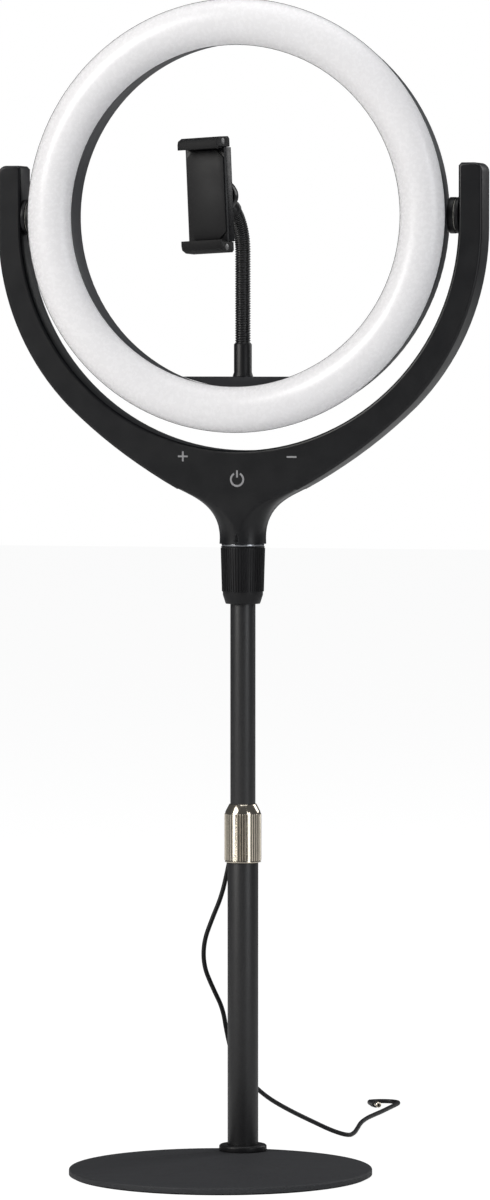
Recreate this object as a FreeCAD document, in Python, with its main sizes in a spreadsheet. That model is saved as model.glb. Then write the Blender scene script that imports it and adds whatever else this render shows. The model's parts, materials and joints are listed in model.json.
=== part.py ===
import FreeCAD, Part
import math
import os
import Sketcher
from FreeCAD import Placement, Rotation, Vector

# A ring light on a telescopic table stand, in millimetres.
# Row frame: the origin is on the table under the pole, +Z is up, the ring faces -Y, +X is to its right.

doc = FreeCAD.newDocument("RingLight")
sheet = doc.addObject("Spreadsheet::Sheet", "Sizes")

# ---------------------------------------------------------------- driving dimensions
DRIVING = [
    # base
    ("base_radius", 103.5, "steel disc"),
    ("base_thickness", 4.0, "steel disc"),
    ("base_edge", 1.2, "rounding of the disc's upper rim"),
    ("pad_thickness", 1.0, "foam pad under the disc"),
    ("pad_margin", 2.0, "how far the pad stays inside the disc"),
    ("pole_inset", 12.0, "from the disc's edge to the pole's axis"),
    ("foot_screw_radius", 4.0, "M8 screw that holds the pole"),
    ("foot_head_radius", 7.0, "head of that screw"),
    ("foot_head_depth", 2.2, "counterbore for the head"),
    ("foot_screw_length", 17.0, "shank of that screw"),
    ("flange_width", 5.9, "collar round the pole's foot"),
    ("flange_height", 4.5, "collar round the pole's foot"),
    # pole
    ("tube_step", 1.95, "between the outsides of the two tubes"),
    ("lower_wall", 1.0, "lower tube"),
    ("lower_length", 207.0, "lower tube"),
    ("upper_radius", 8.75, "upper tube, outside"),
    ("upper_wall", 1.0, "upper tube"),
    ("upper_foot", 158.0, "height of the upper tube's lower end"),
    ("upper_length", 282.0, "upper tube"),
    ("insert_height", 19.0, "threaded plug in the foot of the lower tube"),
    ("bush_height", 14.0, "guide bush on the upper tube's lower end"),
    ("bush_lip", 3.0, "lip of the bush under the tube"),
    ("collar_depth", 19.5, "how far the lock collar goes into the lower tube"),
    ("collar_rise", 16.0, "threaded part of the lock collar above the tube"),
    ("collet_height", 12.0, "split collet on the lock collar"),
    ("collet_taper", 0.9, "how much narrower the collet is at its top"),
    ("nut_wall", 2.15, "knurled clamp nut, outside of the lower tube's size"),
    ("nut_skirt", 5.5, "how far the clamp nut reaches down over the lower tube"),
    ("nut_height", 40.5, "clamp nut, overall"),
    ("nut_cone", 6.5, "polished cone on the clamp nut"),
    # collar under the yoke
    ("stem_overlap", 12.0, "how far the upper tube reaches into the stem"),
    ("stem_wall", 4.2, "stem of the yoke"),
    ("stem_room", 3.25, "between the upper tube and the stem's bore"),
    ("stem_bore_depth", 18.0, "bore in the stem"),
    ("cnut_height", 40.0, "ribbed collar nut"),
    ("cnut_cone", 8.3, "plain cone at its foot"),
    ("cnut_cone_width", 2.65, "plain cone at its foot"),
    ("cnut_draft", 1.0, "how much narrower the ribbed part is below"),
    ("cnut_step", 0.6, "how far the nut stays inside the stem"),
    ("washer_height", 1.6, "pale washer between collar nut and stem"),
    ("washer_step", 1.4, "how far the washer stays inside the stem"),
    ("collet_wall", 2.2, "stem collet"),
    ("swivel_below", 30.0, "stem collet under the stem"),
    ("swivel_above", 6.0, "stem collet inside the stem"),
    ("clip_width", 1.6, "spring clips that hold the collet on the tube"),
    ("clip_rise", 1.7, "how far the clips stand off the tube"),
    # yoke
    ("yoke_width", 16.7, "width of an arm"),
    ("saddle_rise", 64.7, "lowest point of the inner arc above the stem's lower end"),
    ("arc_offset", 3.5, "outer arc's centre below the inner arc's"),
    ("pivot_rise", 5.1, "pivots above the inner arc's centre"),
    ("arm_rise", 35.9, "ends of the arms above the pivots"),
    ("arm_round", 6.0, "outer corner of an arm's end"),
    ("yoke_front_depth", 15.0, "front face ahead of the pole axis"),
    ("yoke_back_depth", 9.0, "back face behind the pole axis"),
    ("yoke_wall", 2.2, "both yoke shells"),
    ("flare_radius", 352.0, "long curve of the underside"),
    ("flare_rise", 38.0, "where that curve meets the stem's loft, above the stem's lower end"),
    ("flare_foot_width", 43.2, "half width there"),
    ("board_height", 22.0, "control board"),
    ("board_rise", 39.0, "control board's lower edge above the stem's lower end"),
    ("board_thickness", 1.6, "control board"),
    ("board_seat", 4.0, "control board's back face ahead of the pole axis"),
    ("key_spread", 39.0, "plus and minus keys, from the middle"),
    ("key_rise", 60.6, "plus and minus keys above the stem's lower end"),
    ("power_rise", 44.8, "power key above the stem's lower end"),
    ("icon_depth", 0.2, "printed icons"),
    # ring
    ("pivot_offset", 4.0, "pivots ahead of the pole axis"),
    ("ring_outer", 149.5, "rim, outside"),
    ("ring_width", 32.0, "rim, across"),
    ("rim_ahead", 18.0, "rim ahead of the pivots"),
    ("back_behind", 16.0, "back face behind the pivots"),
    ("ring_draft", 4.1, "how much narrower the back is, outside"),
    ("hole_draft", 2.5, "how much wider the hole is at the back"),
    ("ring_round", 4.0, "rounding of the back's edges"),
    ("ring_wall", 2.0, "back shell"),
    ("dome_height", 9.5, "diffuser ahead of the rim"),
    ("dome_radius", 17.9, "diffuser, outer section"),
    ("dome_wall", 1.6, "diffuser"),
    ("skirt_depth", 4.0, "diffuser skirts inside the rim"),
    ("board_inner_gap", 5.5, "LED board inside the rim's hole size"),
    ("board_outer_gap", 7.5, "LED board inside the rim's outer size"),
    ("led_size", 3.0, "one LED"),
    ("led_height", 0.8, "one LED"),
    ("led_row_gap", 9.8, "between the two rows of LEDs"),
    ("post_radius", 3.0, "posts of the diffuser"),
    ("hub_radius", 12.5, "pivot hubs"),
    ("hub_sink", 0.5, "hub's inner face inside the rim's outer size"),
    ("hub_thickness", 4.0, "pivot hubs"),
    ("shaft_radius", 5.0, "hollow pivot shaft"),
    ("shaft_bore", 2.5, "hollow pivot shaft"),
    ("shaft_length", 11.0, "hollow pivot shaft"),
    ("friction_thickness", 0.8, "friction washers"),
    ("bush_wall", 1.9, "pivot bushes in the yoke"),
    ("bush_flange", 3.0, "flange of the pivot bushes"),
    ("bush_reach", 1.0, "bush standing inside the yoke's wall"),
    ("pivot_nut_height", 3.0, "nuts on the pivot shafts"),
    ("pivot_nut_radius", 7.5, "nuts on the pivot shafts"),
    # phone holder
    ("bracket_height", 6.7, "bracket at its middle"),
    ("bracket_depth", 12.0, "bracket, front to back"),
    ("neck_radius", 5.4, "gooseneck"),
    ("neck_base_radius", 6.2, "ferrule at its foot"),
    ("neck_base_height", 23.2, "ferrule at its foot"),
    ("neck_straight", 63.0, "straight stretch of the gooseneck"),
    ("neck_bend", 36.0, "radius of its curved stretch"),
    ("neck_turn", 52.0, "angle of its curved stretch"),
    ("ball_reach", 16.0, "from the gooseneck's end to the ball"),
    ("ball_radius", 6.5, "ball"),
    ("stud_radius", 2.2, "stud of the ball"),
    ("clamp_yaw", 12.0, "the holder is turned to the left"),
    ("clamp_lean", 2.6, "the holder leans to the left"),
    ("clamp_ahead", 22.5, "middle of the holder ahead of the ball"),
    ("clamp_width", 31.0, "phone holder"),
    ("clamp_height", 64.6, "phone holder, between the jaws"),
    ("clamp_depth", 9.0, "phone holder, without jaws"),
    ("channel_wall", 1.0, "aluminium channel"),
    ("jaw_thickness", 7.2, "jaws"),
    ("jaw_reach", 11.5, "jaws ahead of the body"),
    ("jaw_pin_radius", 2.3, "steel pins through the jaws"),
    ("slider_width", 18.0, "slider of the upper jaw"),
    ("slider_thickness", 3.2, "slider of the upper jaw"),
    ("spring_radius", 1.5, "return springs"),
    ("liner_wall", 1.7, "nylon liner round the ball"),
    ("cup_wall", 0.8, "socket cup"),
    ("socket_nut_wall", 2.6, "socket nut, outside of the liner's size"),
    # cable
    ("cord_radius", 1.6, "supply cable"),
    ("grommet_drop", 62.0, "cable's outlet below the upper tube's end"),
    ("grommet_radius", 4.4, "flange of the cable's grommet"),
    ("grommet_reach", 10.0, "strain relief outside the tube"),
    ("plug_radius", 2.7, "plug's grip"),
    ("plug_length", 20.0, "plug's grip with its strain relief"),
    ("barrel_radius", 2.0, "plug's metal barrel"),
    ("barrel_bore", 0.85, "plug's metal barrel"),
    ("barrel_length", 9.0, "plug's metal barrel"),
    # fits
    ("running", 0.06, "radial clearance of turning and sliding fits"),
    ("seated", 0.05, "radial clearance of fixed round joints"),
    ("free_gap", 0.3, "gap between pieces that pass each other"),
]
for row, (alias, value, note) in enumerate(DRIVING, start=1):
    sheet.set(f"A{row}", alias)
    sheet.set(f"B{row}", str(value))
    sheet.setAlias(f"B{row}", alias)
    sheet.set(f"C{row}", note)
doc.recompute()


# ---------------------------------------------------------------- sizes and sketches
class Size:
    """A number together with the sheet expression that gives it."""

    def __init__(self, value, text):
        self.value = value
        self.text = text

    def __add__(self, other):
        return joined(self, "+", other, self.value + number(other))

    def __radd__(self, other):
        return joined(other, "+", self, number(other) + self.value)

    def __sub__(self, other):
        return joined(self, "-", other, self.value - number(other))

    def __rsub__(self, other):
        return joined(other, "-", self, number(other) - self.value)

    def __mul__(self, other):
        return joined(self, "*", other, self.value * number(other))

    def __rmul__(self, other):
        return joined(other, "*", self, number(other) * self.value)

    def __truediv__(self, other):
        return joined(self, "/", other, self.value / number(other))

    def __neg__(self):
        return joined(0, "-", self, -self.value)


def number(item):
    return item.value if isinstance(item, Size) else item


def text_of(item):
    return item.text if isinstance(item, Size) else repr(float(item))


def joined(left, sign, right, value):
    return Size(value, f"({text_of(left)} {sign} {text_of(right)})")


def root_of(item):
    return Size(math.sqrt(item.value), f"sqrt({item.text})")


def cosine(angle):
    return Size(math.cos(math.radians(angle.value)), f"cos({angle.text} * 1 deg)")


def sine(angle):
    return Size(math.sin(math.radians(angle.value)), f"sin({angle.text} * 1 deg)")


S = {alias: Size(value, f"Sizes.{alias}") for alias, value, note in DRIVING}

# Sizes and heights that follow from the driving ones.
S["pole_setback"] = S["base_radius"] - S["pole_inset"]
S["lower_radius"] = S["upper_radius"] + S["tube_step"]
S["flange_radius"] = S["lower_radius"] + S["flange_width"]
S["nut_radius"] = S["lower_radius"] + S["nut_wall"]
S["stem_bore"] = S["upper_radius"] + S["stem_room"]
S["stem_radius"] = S["stem_bore"] + S["stem_wall"]
S["cnut_top_radius"] = S["stem_radius"] - S["cnut_step"]
S["cnut_low_radius"] = S["cnut_top_radius"] - S["cnut_draft"]
S["cnut_foot_radius"] = S["cnut_low_radius"] - S["cnut_cone_width"]
S["washer_radius"] = S["stem_radius"] - S["washer_step"]
S["upper_top"] = S["upper_foot"] + S["upper_length"]
S["grommet_height"] = S["upper_top"] - S["grommet_drop"]
S["stem_foot"] = S["upper_top"] - S["stem_overlap"]
S["swivel_low"] = S["stem_foot"] - S["swivel_below"]
S["swivel_high"] = S["stem_foot"] + S["swivel_above"]
S["flare_foot_height"] = S["stem_foot"] + S["flare_rise"]
S["board_low"] = S["stem_foot"] + S["board_rise"]
S["key_height"] = S["stem_foot"] + S["key_rise"]
S["power_height"] = S["stem_foot"] + S["power_rise"]
S["ring_inner"] = S["ring_outer"] - S["ring_width"]
S["board_ring_inner"] = S["ring_inner"] + S["board_inner_gap"]
S["board_ring_outer"] = S["ring_outer"] - S["board_outer_gap"]
S["hub_seat"] = S["ring_outer"] - S["hub_sink"]
pivot_stack = S["hub_thickness"] + S["friction_thickness"] + S["bush_flange"]
S["yoke_inner"] = S["hub_seat"] + pivot_stack
S["yoke_outer"] = S["yoke_inner"] + S["yoke_width"]
S["yoke_inner_height"] = S["stem_foot"] + S["saddle_rise"] + S["yoke_inner"]
S["yoke_outer_height"] = S["yoke_inner_height"] - S["arc_offset"]
S["ring_height"] = S["yoke_inner_height"] + S["pivot_rise"]
S["arm_top"] = S["ring_height"] + S["arm_rise"]
S["chord_drop"] = S["ring_inner"] - S["bracket_height"]
S["liner_radius"] = S["ball_radius"] + S["liner_wall"]
S["socket_nut_radius"] = S["liner_radius"] + S["socket_nut_wall"]


def bind(thing, path, item):
    """Gives a property the value of a size, by expression where it comes from the sheet."""
    if isinstance(item, Size):
        thing.setExpression(path, item.text)


def new_body(name, placement=Placement()):
    body = doc.addObject("PartDesign::Body", name)
    body.Label = name
    body.AllowCompound = True
    body.Placement = placement
    return body


def new_sketch(body, plane="XY_Plane", shift=0.0):
    """A sketch on one of the body's own planes, moved along the plane's normal."""
    sketch = body.newObject("Sketcher::SketchObject", body.Name + "_sketch")
    support = next(f for f in body.Origin.OriginFeatures if f.Role == plane)
    sketch.AttachmentSupport = [(support, "")]
    sketch.MapMode = "FlatFace"
    sketch.AttachmentOffset = Placement(Vector(0, 0, number(shift)), Rotation())
    bind(sketch, "AttachmentOffset.Base.z", shift)
    return sketch


def pin_down(sketch, edge, end, point):
    """Fixes a point of the sketch at two sizes."""
    for kind, item in zip(("DistanceX", "DistanceY"), point):
        place = Sketcher.Constraint(kind, -1, 1, edge, end, float(number(item)))
        index = sketch.addConstraint(place)
        bind(sketch, f"Constraints[{index}]", item)


def arc_between(first, last, bend):
    """The arc from first to last: a positive bend turns left on the way, a negative one right."""
    ax, ay = (number(item) for item in first)
    bx, by = (number(item) for item in last)
    radius = abs(number(bend))
    chord = math.hypot(bx - ax, by - ay)
    rise = math.sqrt(max(radius**2 - chord**2 / 4, 0.0))
    side = 1 if number(bend) > 0 else -1
    cx = (ax + bx) / 2 - side * (by - ay) / chord * rise
    cy = (ay + by) / 2 + side * (bx - ax) / chord * rise
    begin = math.atan2(ay - cy, ax - cx)
    end = math.atan2(by - cy, bx - cx)
    if side < 0:
        begin, end = end, begin
    if end < begin:
        end += 2 * math.pi
    circle = Part.Circle(Vector(cx, cy, 0), Vector(0, 0, 1), radius)
    return Part.ArcOfCircle(circle, begin, end)


def outline(sketch, corners):
    """A closed outline. A corner is (x, y) or (x, y, bend), where the edge that leaves it is an arc."""
    starts = []
    ends = []
    first_edge = sketch.GeometryCount
    count = len(corners)
    for index, corner in enumerate(corners):
        after = corners[(index + 1) % count]
        if len(corner) == 3:
            edge = sketch.addGeometry(arc_between(corner[:2], after[:2], corner[2]))
            starts.append(1 if number(corner[2]) > 0 else 2)
            ends.append(3 - starts[-1])
            size = corner[2] if number(corner[2]) > 0 else -corner[2]
            radius = Sketcher.Constraint("Radius", edge, abs(number(corner[2])))
            bind(sketch, f"Constraints[{sketch.addConstraint(radius)}]", size)
        else:
            a = Vector(number(corner[0]), number(corner[1]), 0)
            b = Vector(number(after[0]), number(after[1]), 0)
            sketch.addGeometry(Part.LineSegment(a, b))
            starts.append(1)
            ends.append(2)
    for index, corner in enumerate(corners):
        before = (index - 1) % count
        meet = (first_edge + before, ends[before], first_edge + index, starts[index])
        sketch.addConstraint(Sketcher.Constraint("Coincident", *meet))
        pin_down(sketch, first_edge + index, starts[index], corner[:2])
    return sketch


def circle(sketch, x, y, radius):
    place = Vector(number(x), number(y), 0)
    edge = sketch.addGeometry(Part.Circle(place, Vector(0, 0, 1), number(radius)))
    size = Sketcher.Constraint("Radius", edge, float(number(radius)))
    bind(sketch, f"Constraints[{sketch.addConstraint(size)}]", radius)
    pin_down(sketch, edge, 3, (x, y))
    return sketch


def rectangle(sketch, left, low, right, high):
    return outline(sketch, [(left, low), (right, low), (right, high), (left, high)])


def feature(body, kind, sketch, **settings):
    """A PartDesign feature on a sketch, with its sizes bound."""
    item = body.newObject(f"PartDesign::{kind}", f"{body.Name}_made_by_{kind}")
    item.Profile = sketch
    for name, value in settings.items():
        setattr(item, name, number(value))
        bind(item, name, value)
    return item


def pad(body, sketch, length, back=False):
    return feature(body, "Pad", sketch, Length=length, Reversed=back)


def cut(body, sketch, length, ahead=True):
    """Cuts along the sketch's normal, or against it."""
    return feature(body, "Pocket", sketch, Length=length, Reversed=ahead)


def turn(body, corners, angle=360.0, plane="XZ_Plane", back=False, kind="Revolution"):
    """Turns an outline of (radius, height) corners about the body's own axis."""
    sketch = outline(new_sketch(body, plane), corners)
    item = feature(body, kind, sketch, Angle=angle, Reversed=back)
    item.ReferenceAxis = (sketch, ["V_Axis"])
    return item


def lathe(name, corners, placement=Placement()):
    body = new_body(name, placement)
    turn(body, corners)
    return body


def ring_of(body, original, count):
    """Repeats a feature evenly about the body's Z axis."""
    pattern = body.newObject("PartDesign::PolarPattern", body.Name + "_pattern")
    pattern.Originals = [original]
    axis = next(f for f in body.Origin.OriginFeatures if f.Role == "Z_Axis")
    pattern.Axis = (axis, [""])
    pattern.Angle = 360
    pattern.Occurrences = count
    body.Tip = pattern
    return pattern


def tube(inner, outer, low, high):
    """Outline of a plain tube."""
    return [(inner, low), (outer, low), (outer, high), (inner, high)]


# ---------------------------------------------------------------- frames
FACING = Rotation(Vector(1, 0, 0), 90)  # a body's own Z points to the front, its Y up
BASE_TURN = 6.0  # the disc's long side is turned a little to the right
base_turn = Rotation(Vector(0, 0, 1), BASE_TURN)
disc_place = Placement(base_turn.multVec(Vector(0, -S["pole_setback"].value, 0)), base_turn)
front_place = Placement(Vector(0, 0, 0), FACING)
ring_place = Placement(Vector(0, -S["pivot_offset"].value, S["ring_height"].value), FACING)


def side_place(side):
    """At the ring's centre, with the body's own Z along the pivots to one side."""
    return Placement(ring_place.Base, Rotation(Vector(0, 1, 0), 90 * side))


# ---------------------------------------------------------------- base and foot
top_of_base = S["pad_thickness"] + S["base_thickness"]
rim = S["base_radius"] - S["base_edge"]
base_plate = new_body("base_plate", disc_place)
turn(
    base_plate,
    [
        (0.0, S["pad_thickness"]),
        (S["base_radius"], S["pad_thickness"]),
        (S["base_radius"], top_of_base - S["base_edge"], S["base_edge"]),
        (rim, top_of_base),
        (0.0, top_of_base),
    ],
)
hole = circle(new_sketch(base_plate), 0.0, S["pole_setback"], S["foot_screw_radius"] + S["seated"])
cut(base_plate, hole, top_of_base + 1.0)
head_seat = new_sketch(base_plate)
circle(head_seat, 0.0, S["pole_setback"], S["foot_head_radius"] + S["free_gap"])
cut(base_plate, head_seat, S["pad_thickness"] + S["foot_head_depth"])

base_pad = doc.addObject("Part::Cylinder", "base_pad")
base_pad.Placement = disc_place
bind(base_pad, "Radius", S["base_radius"] - S["pad_margin"])
bind(base_pad, "Height", S["pad_thickness"])

head_low = S["pad_thickness"]
head_high = S["pad_thickness"] + S["foot_head_depth"]
lathe(
    "base_screw",
    [
        (0.0, head_low),
        (S["foot_head_radius"], head_low),
        (S["foot_head_radius"], head_high),
        (S["foot_screw_radius"], head_high),
        (S["foot_screw_radius"], head_high + S["foot_screw_length"]),
        (0.0, head_high + S["foot_screw_length"]),
    ],
)
flange_top = top_of_base + S["flange_height"]
flange_round = 1.6
lathe(
    "foot_flange",
    [
        (S["lower_radius"] + S["seated"], top_of_base),
        (S["flange_radius"], top_of_base),
        (S["flange_radius"], flange_top - flange_round, flange_round),
        (S["flange_radius"] - flange_round, flange_top),
        (S["lower_radius"] + S["seated"], flange_top),
    ],
)
lower_bore = S["lower_radius"] - S["lower_wall"]
lower_top = top_of_base + S["lower_length"]
lathe("lower_tube", tube(lower_bore, S["lower_radius"], top_of_base, lower_top))
lathe(
    "foot_insert",
    tube(
        S["foot_screw_radius"] + S["seated"],
        lower_bore - S["seated"],
        top_of_base,
        top_of_base + S["insert_height"],
    ),
)

# ---------------------------------------------------------------- clamp of the telescope
upper_hole = S["upper_radius"] + S["running"]
collar_top = lower_top + S["collar_rise"]
lathe(
    "lock_collar",
    [
        (upper_hole, lower_top - S["collar_depth"]),
        (lower_bore - S["seated"], lower_top - S["collar_depth"]),
        (lower_bore - S["seated"], lower_top),
        (S["lower_radius"], lower_top),
        (S["lower_radius"], collar_top),
        (upper_hole, collar_top),
    ],
)
collet_top = collar_top + S["collet_height"]
collet = new_body("collet")
turn(
    collet,
    [
        (upper_hole, collar_top),
        (S["lower_radius"], collar_top),
        (S["lower_radius"] - S["collet_taper"], collet_top),
        (upper_hole, collet_top),
    ],
)
split = rectangle(
    new_sketch(collet, shift=collar_top), 0.0, -0.8, S["lower_radius"] + 1.0, 0.8
)
cut(collet, split, S["collet_height"] + 1.0)

nut_foot = lower_top - S["nut_skirt"]
nut_top = nut_foot + S["nut_height"]
nut_shoulder = nut_top - S["nut_cone"]
nut_cavity = S["lower_radius"] + S["free_gap"]
mouth = S["upper_radius"] + S["free_gap"]
nut_lip = 1.2
lathe(
    "clamp_nut",
    [
        (S["lower_radius"] + S["running"], nut_foot),
        (S["nut_radius"] - 0.4, nut_foot),
        (S["nut_radius"], nut_foot + nut_lip),
        (S["nut_radius"], nut_shoulder),
        (mouth + 0.4, nut_top),
        (mouth, nut_top),
        (mouth, collet_top + 1.5),
        (nut_cavity - S["collet_taper"], collet_top),
        (nut_cavity, collar_top),
        (nut_cavity, lower_top),
        (S["lower_radius"] + S["running"], lower_top - 0.5),
    ],
)

# ---------------------------------------------------------------- upper tube
CABLE_SIDE = 15.6  # the cable leaves on the side turned away from the viewer
cable_turn = Rotation(Vector(0, 0, 1), CABLE_SIDE)
tube_place = Placement(Vector(0, 0, 0), cable_turn)
upper_top = S["upper_top"]
upper_bore = S["upper_radius"] - S["upper_wall"]
grommet_hole = S["grommet_radius"] - 1.4
upper_tube = new_body("upper_tube", tube_place)
turn(upper_tube, tube(upper_bore, S["upper_radius"], S["upper_foot"], upper_top))
port = circle(new_sketch(upper_tube, "XZ_Plane"), 0.0, S["grommet_height"], grommet_hole)
cut(upper_tube, port, S["upper_radius"] + 1.0, ahead=False)

bush_outer = lower_bore - S["running"]
lathe(
    "guide_bush",
    [
        (upper_bore, S["upper_foot"] - S["bush_lip"]),
        (bush_outer, S["upper_foot"] - S["bush_lip"]),
        (bush_outer, S["upper_foot"] + S["bush_height"]),
        (S["upper_radius"] + S["seated"], S["upper_foot"] + S["bush_height"]),
        (S["upper_radius"] + S["seated"], S["upper_foot"]),
        (upper_bore, S["upper_foot"]),
    ],
)
# The grommet's own Z points straight out of the tube, away from the viewer.
out_turn = cable_turn.multiply(Rotation(Vector(1, 0, 0), -90))
grommet_place = Placement(Vector(0, 0, S["grommet_height"].value), out_turn)
relief_tip = S["cord_radius"] + 0.9
lathe(
    "cable_grommet",
    [
        (S["cord_radius"] + S["seated"], S["upper_radius"] - 3.75),
        (grommet_hole - S["seated"], S["upper_radius"] - 3.75),
        (grommet_hole - S["seated"], S["upper_radius"] + 0.1),
        (S["grommet_radius"], S["upper_radius"] + 0.1),
        (S["grommet_radius"], S["upper_radius"] + 1.8),
        (relief_tip + 0.7, S["upper_radius"] + 2.6),
        (relief_tip, S["upper_radius"] + S["grommet_reach"]),
        (S["cord_radius"] + S["seated"], S["upper_radius"] + S["grommet_reach"]),
    ],
    grommet_place,
)
lead_side = number(upper_bore - S["cord_radius"]) - 0.9
lead_place = Placement(tube_place.multVec(Vector(0, lead_side, S["grommet_height"].value + 3.2)), Rotation())
feed_lead = doc.addObject("Part::Cylinder", "feed_lead")
feed_lead.Placement = lead_place
bind(feed_lead, "Radius", S["cord_radius"])
bind(feed_lead, "Height", upper_top - S["grommet_height"] - 4.0)

# Two spring clips hold the stem collet on the tube, one below and one above it.
clips = new_body("swivel_clips")
clip_outer = S["upper_radius"] + S["clip_rise"]
for low in (S["swivel_low"] - S["free_gap"] - S["clip_width"], S["swivel_high"] + S["free_gap"]):
    turn(clips, tube(S["upper_radius"] + S["seated"], clip_outer, low, low + S["clip_width"]))

# ---------------------------------------------------------------- swivel under the yoke
swivel_outer = S["upper_radius"] + S["running"] + S["collet_wall"]
lathe(
    "stem_collet",
    [
        (S["upper_radius"] + S["running"], S["swivel_low"]),
        (swivel_outer, S["swivel_low"]),
        (swivel_outer, S["stem_foot"]),
        (S["stem_bore"] - S["seated"], S["stem_foot"]),
        (S["stem_bore"] - S["seated"], S["swivel_high"]),
        (S["upper_radius"] + S["running"], S["swivel_high"]),
    ],
)
washer_low = S["stem_foot"] - S["washer_height"]
lathe("collar_washer", tube(swivel_outer + S["seated"], S["washer_radius"], washer_low, S["stem_foot"]))
cnut_top = washer_low - 0.1
cnut_foot = cnut_top - S["cnut_height"]
lathe(
    "collar_nut",
    [
        (mouth, cnut_foot),
        (S["cnut_foot_radius"], cnut_foot),
        (S["cnut_low_radius"], cnut_foot + S["cnut_cone"]),
        (S["cnut_top_radius"], cnut_top - 1.0),
        (S["cnut_top_radius"] - 0.8, cnut_top),
        (swivel_outer + S["free_gap"], cnut_top),
        (swivel_outer + S["free_gap"], cnut_foot + 5.0),
        (mouth, cnut_foot + 4.0),
    ],
)

# ---------------------------------------------------------------- yoke shells
half = math.sqrt(0.5)


def yoke_side(inset):
    """Right half of the yoke's outline, upwards outside and down the inside, drawn in by inset."""
    outer = S["yoke_outer"] - inset
    inner = S["yoke_inner"] + inset
    top = S["arm_top"] - inset
    corner = S["arm_round"] - inset
    foot_x = S["flare_foot_width"] - inset * 0.45
    foot_y = S["flare_foot_height"] + inset * 0.9
    return [
        (foot_x, foot_y, S["flare_radius"] - inset),
        (outer * half, S["yoke_outer_height"] - outer * half, outer),
        (outer, S["yoke_outer_height"]),
        (outer, top - corner, corner),
        (outer - corner, top),
        (inner + 2.0, top),
        (inner, top - 2.0),
        (inner, S["yoke_inner_height"], -inner),
    ]


def mirrored(corners):
    """The same stretch of outline on the left, in the way that closes it."""
    flipped = []
    for index in range(len(corners) - 1, -1, -1):
        x, y = corners[index][:2]
        before = corners[index - 1] if index else ()
        bend = before[2:] if len(before) == 3 else ()
        flipped.append((-x, y, *bend))
    return flipped


def yoke_outline(inset, foot):
    """The whole U, from the foot on the right round to the foot on the left."""
    right = yoke_side(inset)
    bottom = (0.0, S["yoke_inner_height"] - S["yoke_inner"] - inset, -(S["yoke_inner"] + inset))
    return [*foot, *right, bottom, *mirrored(right), *mirrored(foot)]


def stem_section(body, step, depth, way):
    """Half a section of the stem, with its flat side on the plane where the shells meet."""
    rise, wider, flatter, corner = step
    width = S["stem_radius"] + (S["flare_foot_width"] - S["stem_radius"]) * wider
    reach = S["stem_radius"] + (depth - S["stem_radius"]) * flatter
    radius = S["stem_radius"] * corner
    level = S["stem_foot"] + S["flare_rise"] * rise
    sketch = new_sketch(body, "XZ_Plane", -level)
    if way > 0:
        corners = [
            (-width, 0.0), (width, 0.0), (width, reach - radius, radius),
            (width - radius, reach), (radius - width, reach, radius), (-width, reach - radius),
        ]
    else:
        corners = [
            (width, 0.0), (-width, 0.0), (-width, radius - reach, radius),
            (radius - width, -reach), (width - radius, -reach, radius), (width, radius - reach),
        ]
    return outline(sketch, corners)


cavity_foot = [(12.0, S["flare_foot_height"] - 2.0)]
# The stem is round at its foot and flattens into the shells: share of the rise, share of the
# widening, share of the flattening, and corner radius.
STEM_STEPS = ((0.0, 0.0, 0.0, 0.98), (0.2, 0.0, 0.0, 0.98), (0.5, 0.11, 0.25, 0.8), (0.77, 0.43, 0.7, 0.5),
              (1.0, 1.0, 1.0, 0.22))
stem_hollow = [
    (0.0, S["stem_foot"] - 1.0),
    (S["stem_bore"], S["stem_foot"] - 1.0),
    (S["stem_bore"], S["stem_foot"] + S["stem_bore_depth"]),
    (6.0, S["stem_foot"] + S["stem_bore_depth"]),
    (6.0, S["flare_foot_height"]),
    (0.0, S["flare_foot_height"]),
]
arm_middle = (S["yoke_inner"] + S["yoke_outer"]) / 2
screw_places = []
for spread in (-1, 1):
    screw_places.append((spread * arm_middle, S["ring_height"] + 22.0))
    screw_places.append((spread * (arm_middle * 0.819), S["yoke_inner_height"] - arm_middle * 0.5736))
    screw_places.append((spread * (arm_middle * 0.4226), S["yoke_inner_height"] - arm_middle * 0.93))
boss_radius = 3.0
screw_core = 1.3
head_radius = 2.4
head_depth = 1.5


def yoke_shell(name, depth, back):
    """One half of the yoke: a deep tray with the stem's half and its share of the pivot holes."""
    body = new_body(name, front_place)
    pad(body, outline(new_sketch(body), yoke_outline(0.0, [])), depth, back)
    sections = [stem_section(body, step, depth, -1 if back else 1) for step in STEM_STEPS]
    feature(body, "AdditiveLoft", sections[0], Sections=sections[1:])
    cut(body, outline(new_sketch(body), yoke_outline(S["yoke_wall"], cavity_foot)),
        depth - S["yoke_wall"], not back)
    turn(body, stem_hollow, 360.0, "XY_Plane", False, "Groove")
    return body


def pivot_holes(body):
    """A round hole for the pivot bush through each arm's inner wall."""
    for side in (-1, 1):
        sketch = new_sketch(body, "YZ_Plane", side * (S["yoke_inner"] - 1.0))
        circle(sketch, S["ring_height"], S["pivot_offset"], bush_sleeve + S["seated"])
        cut(body, sketch, S["yoke_wall"] + 3.0, side > 0)


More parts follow.
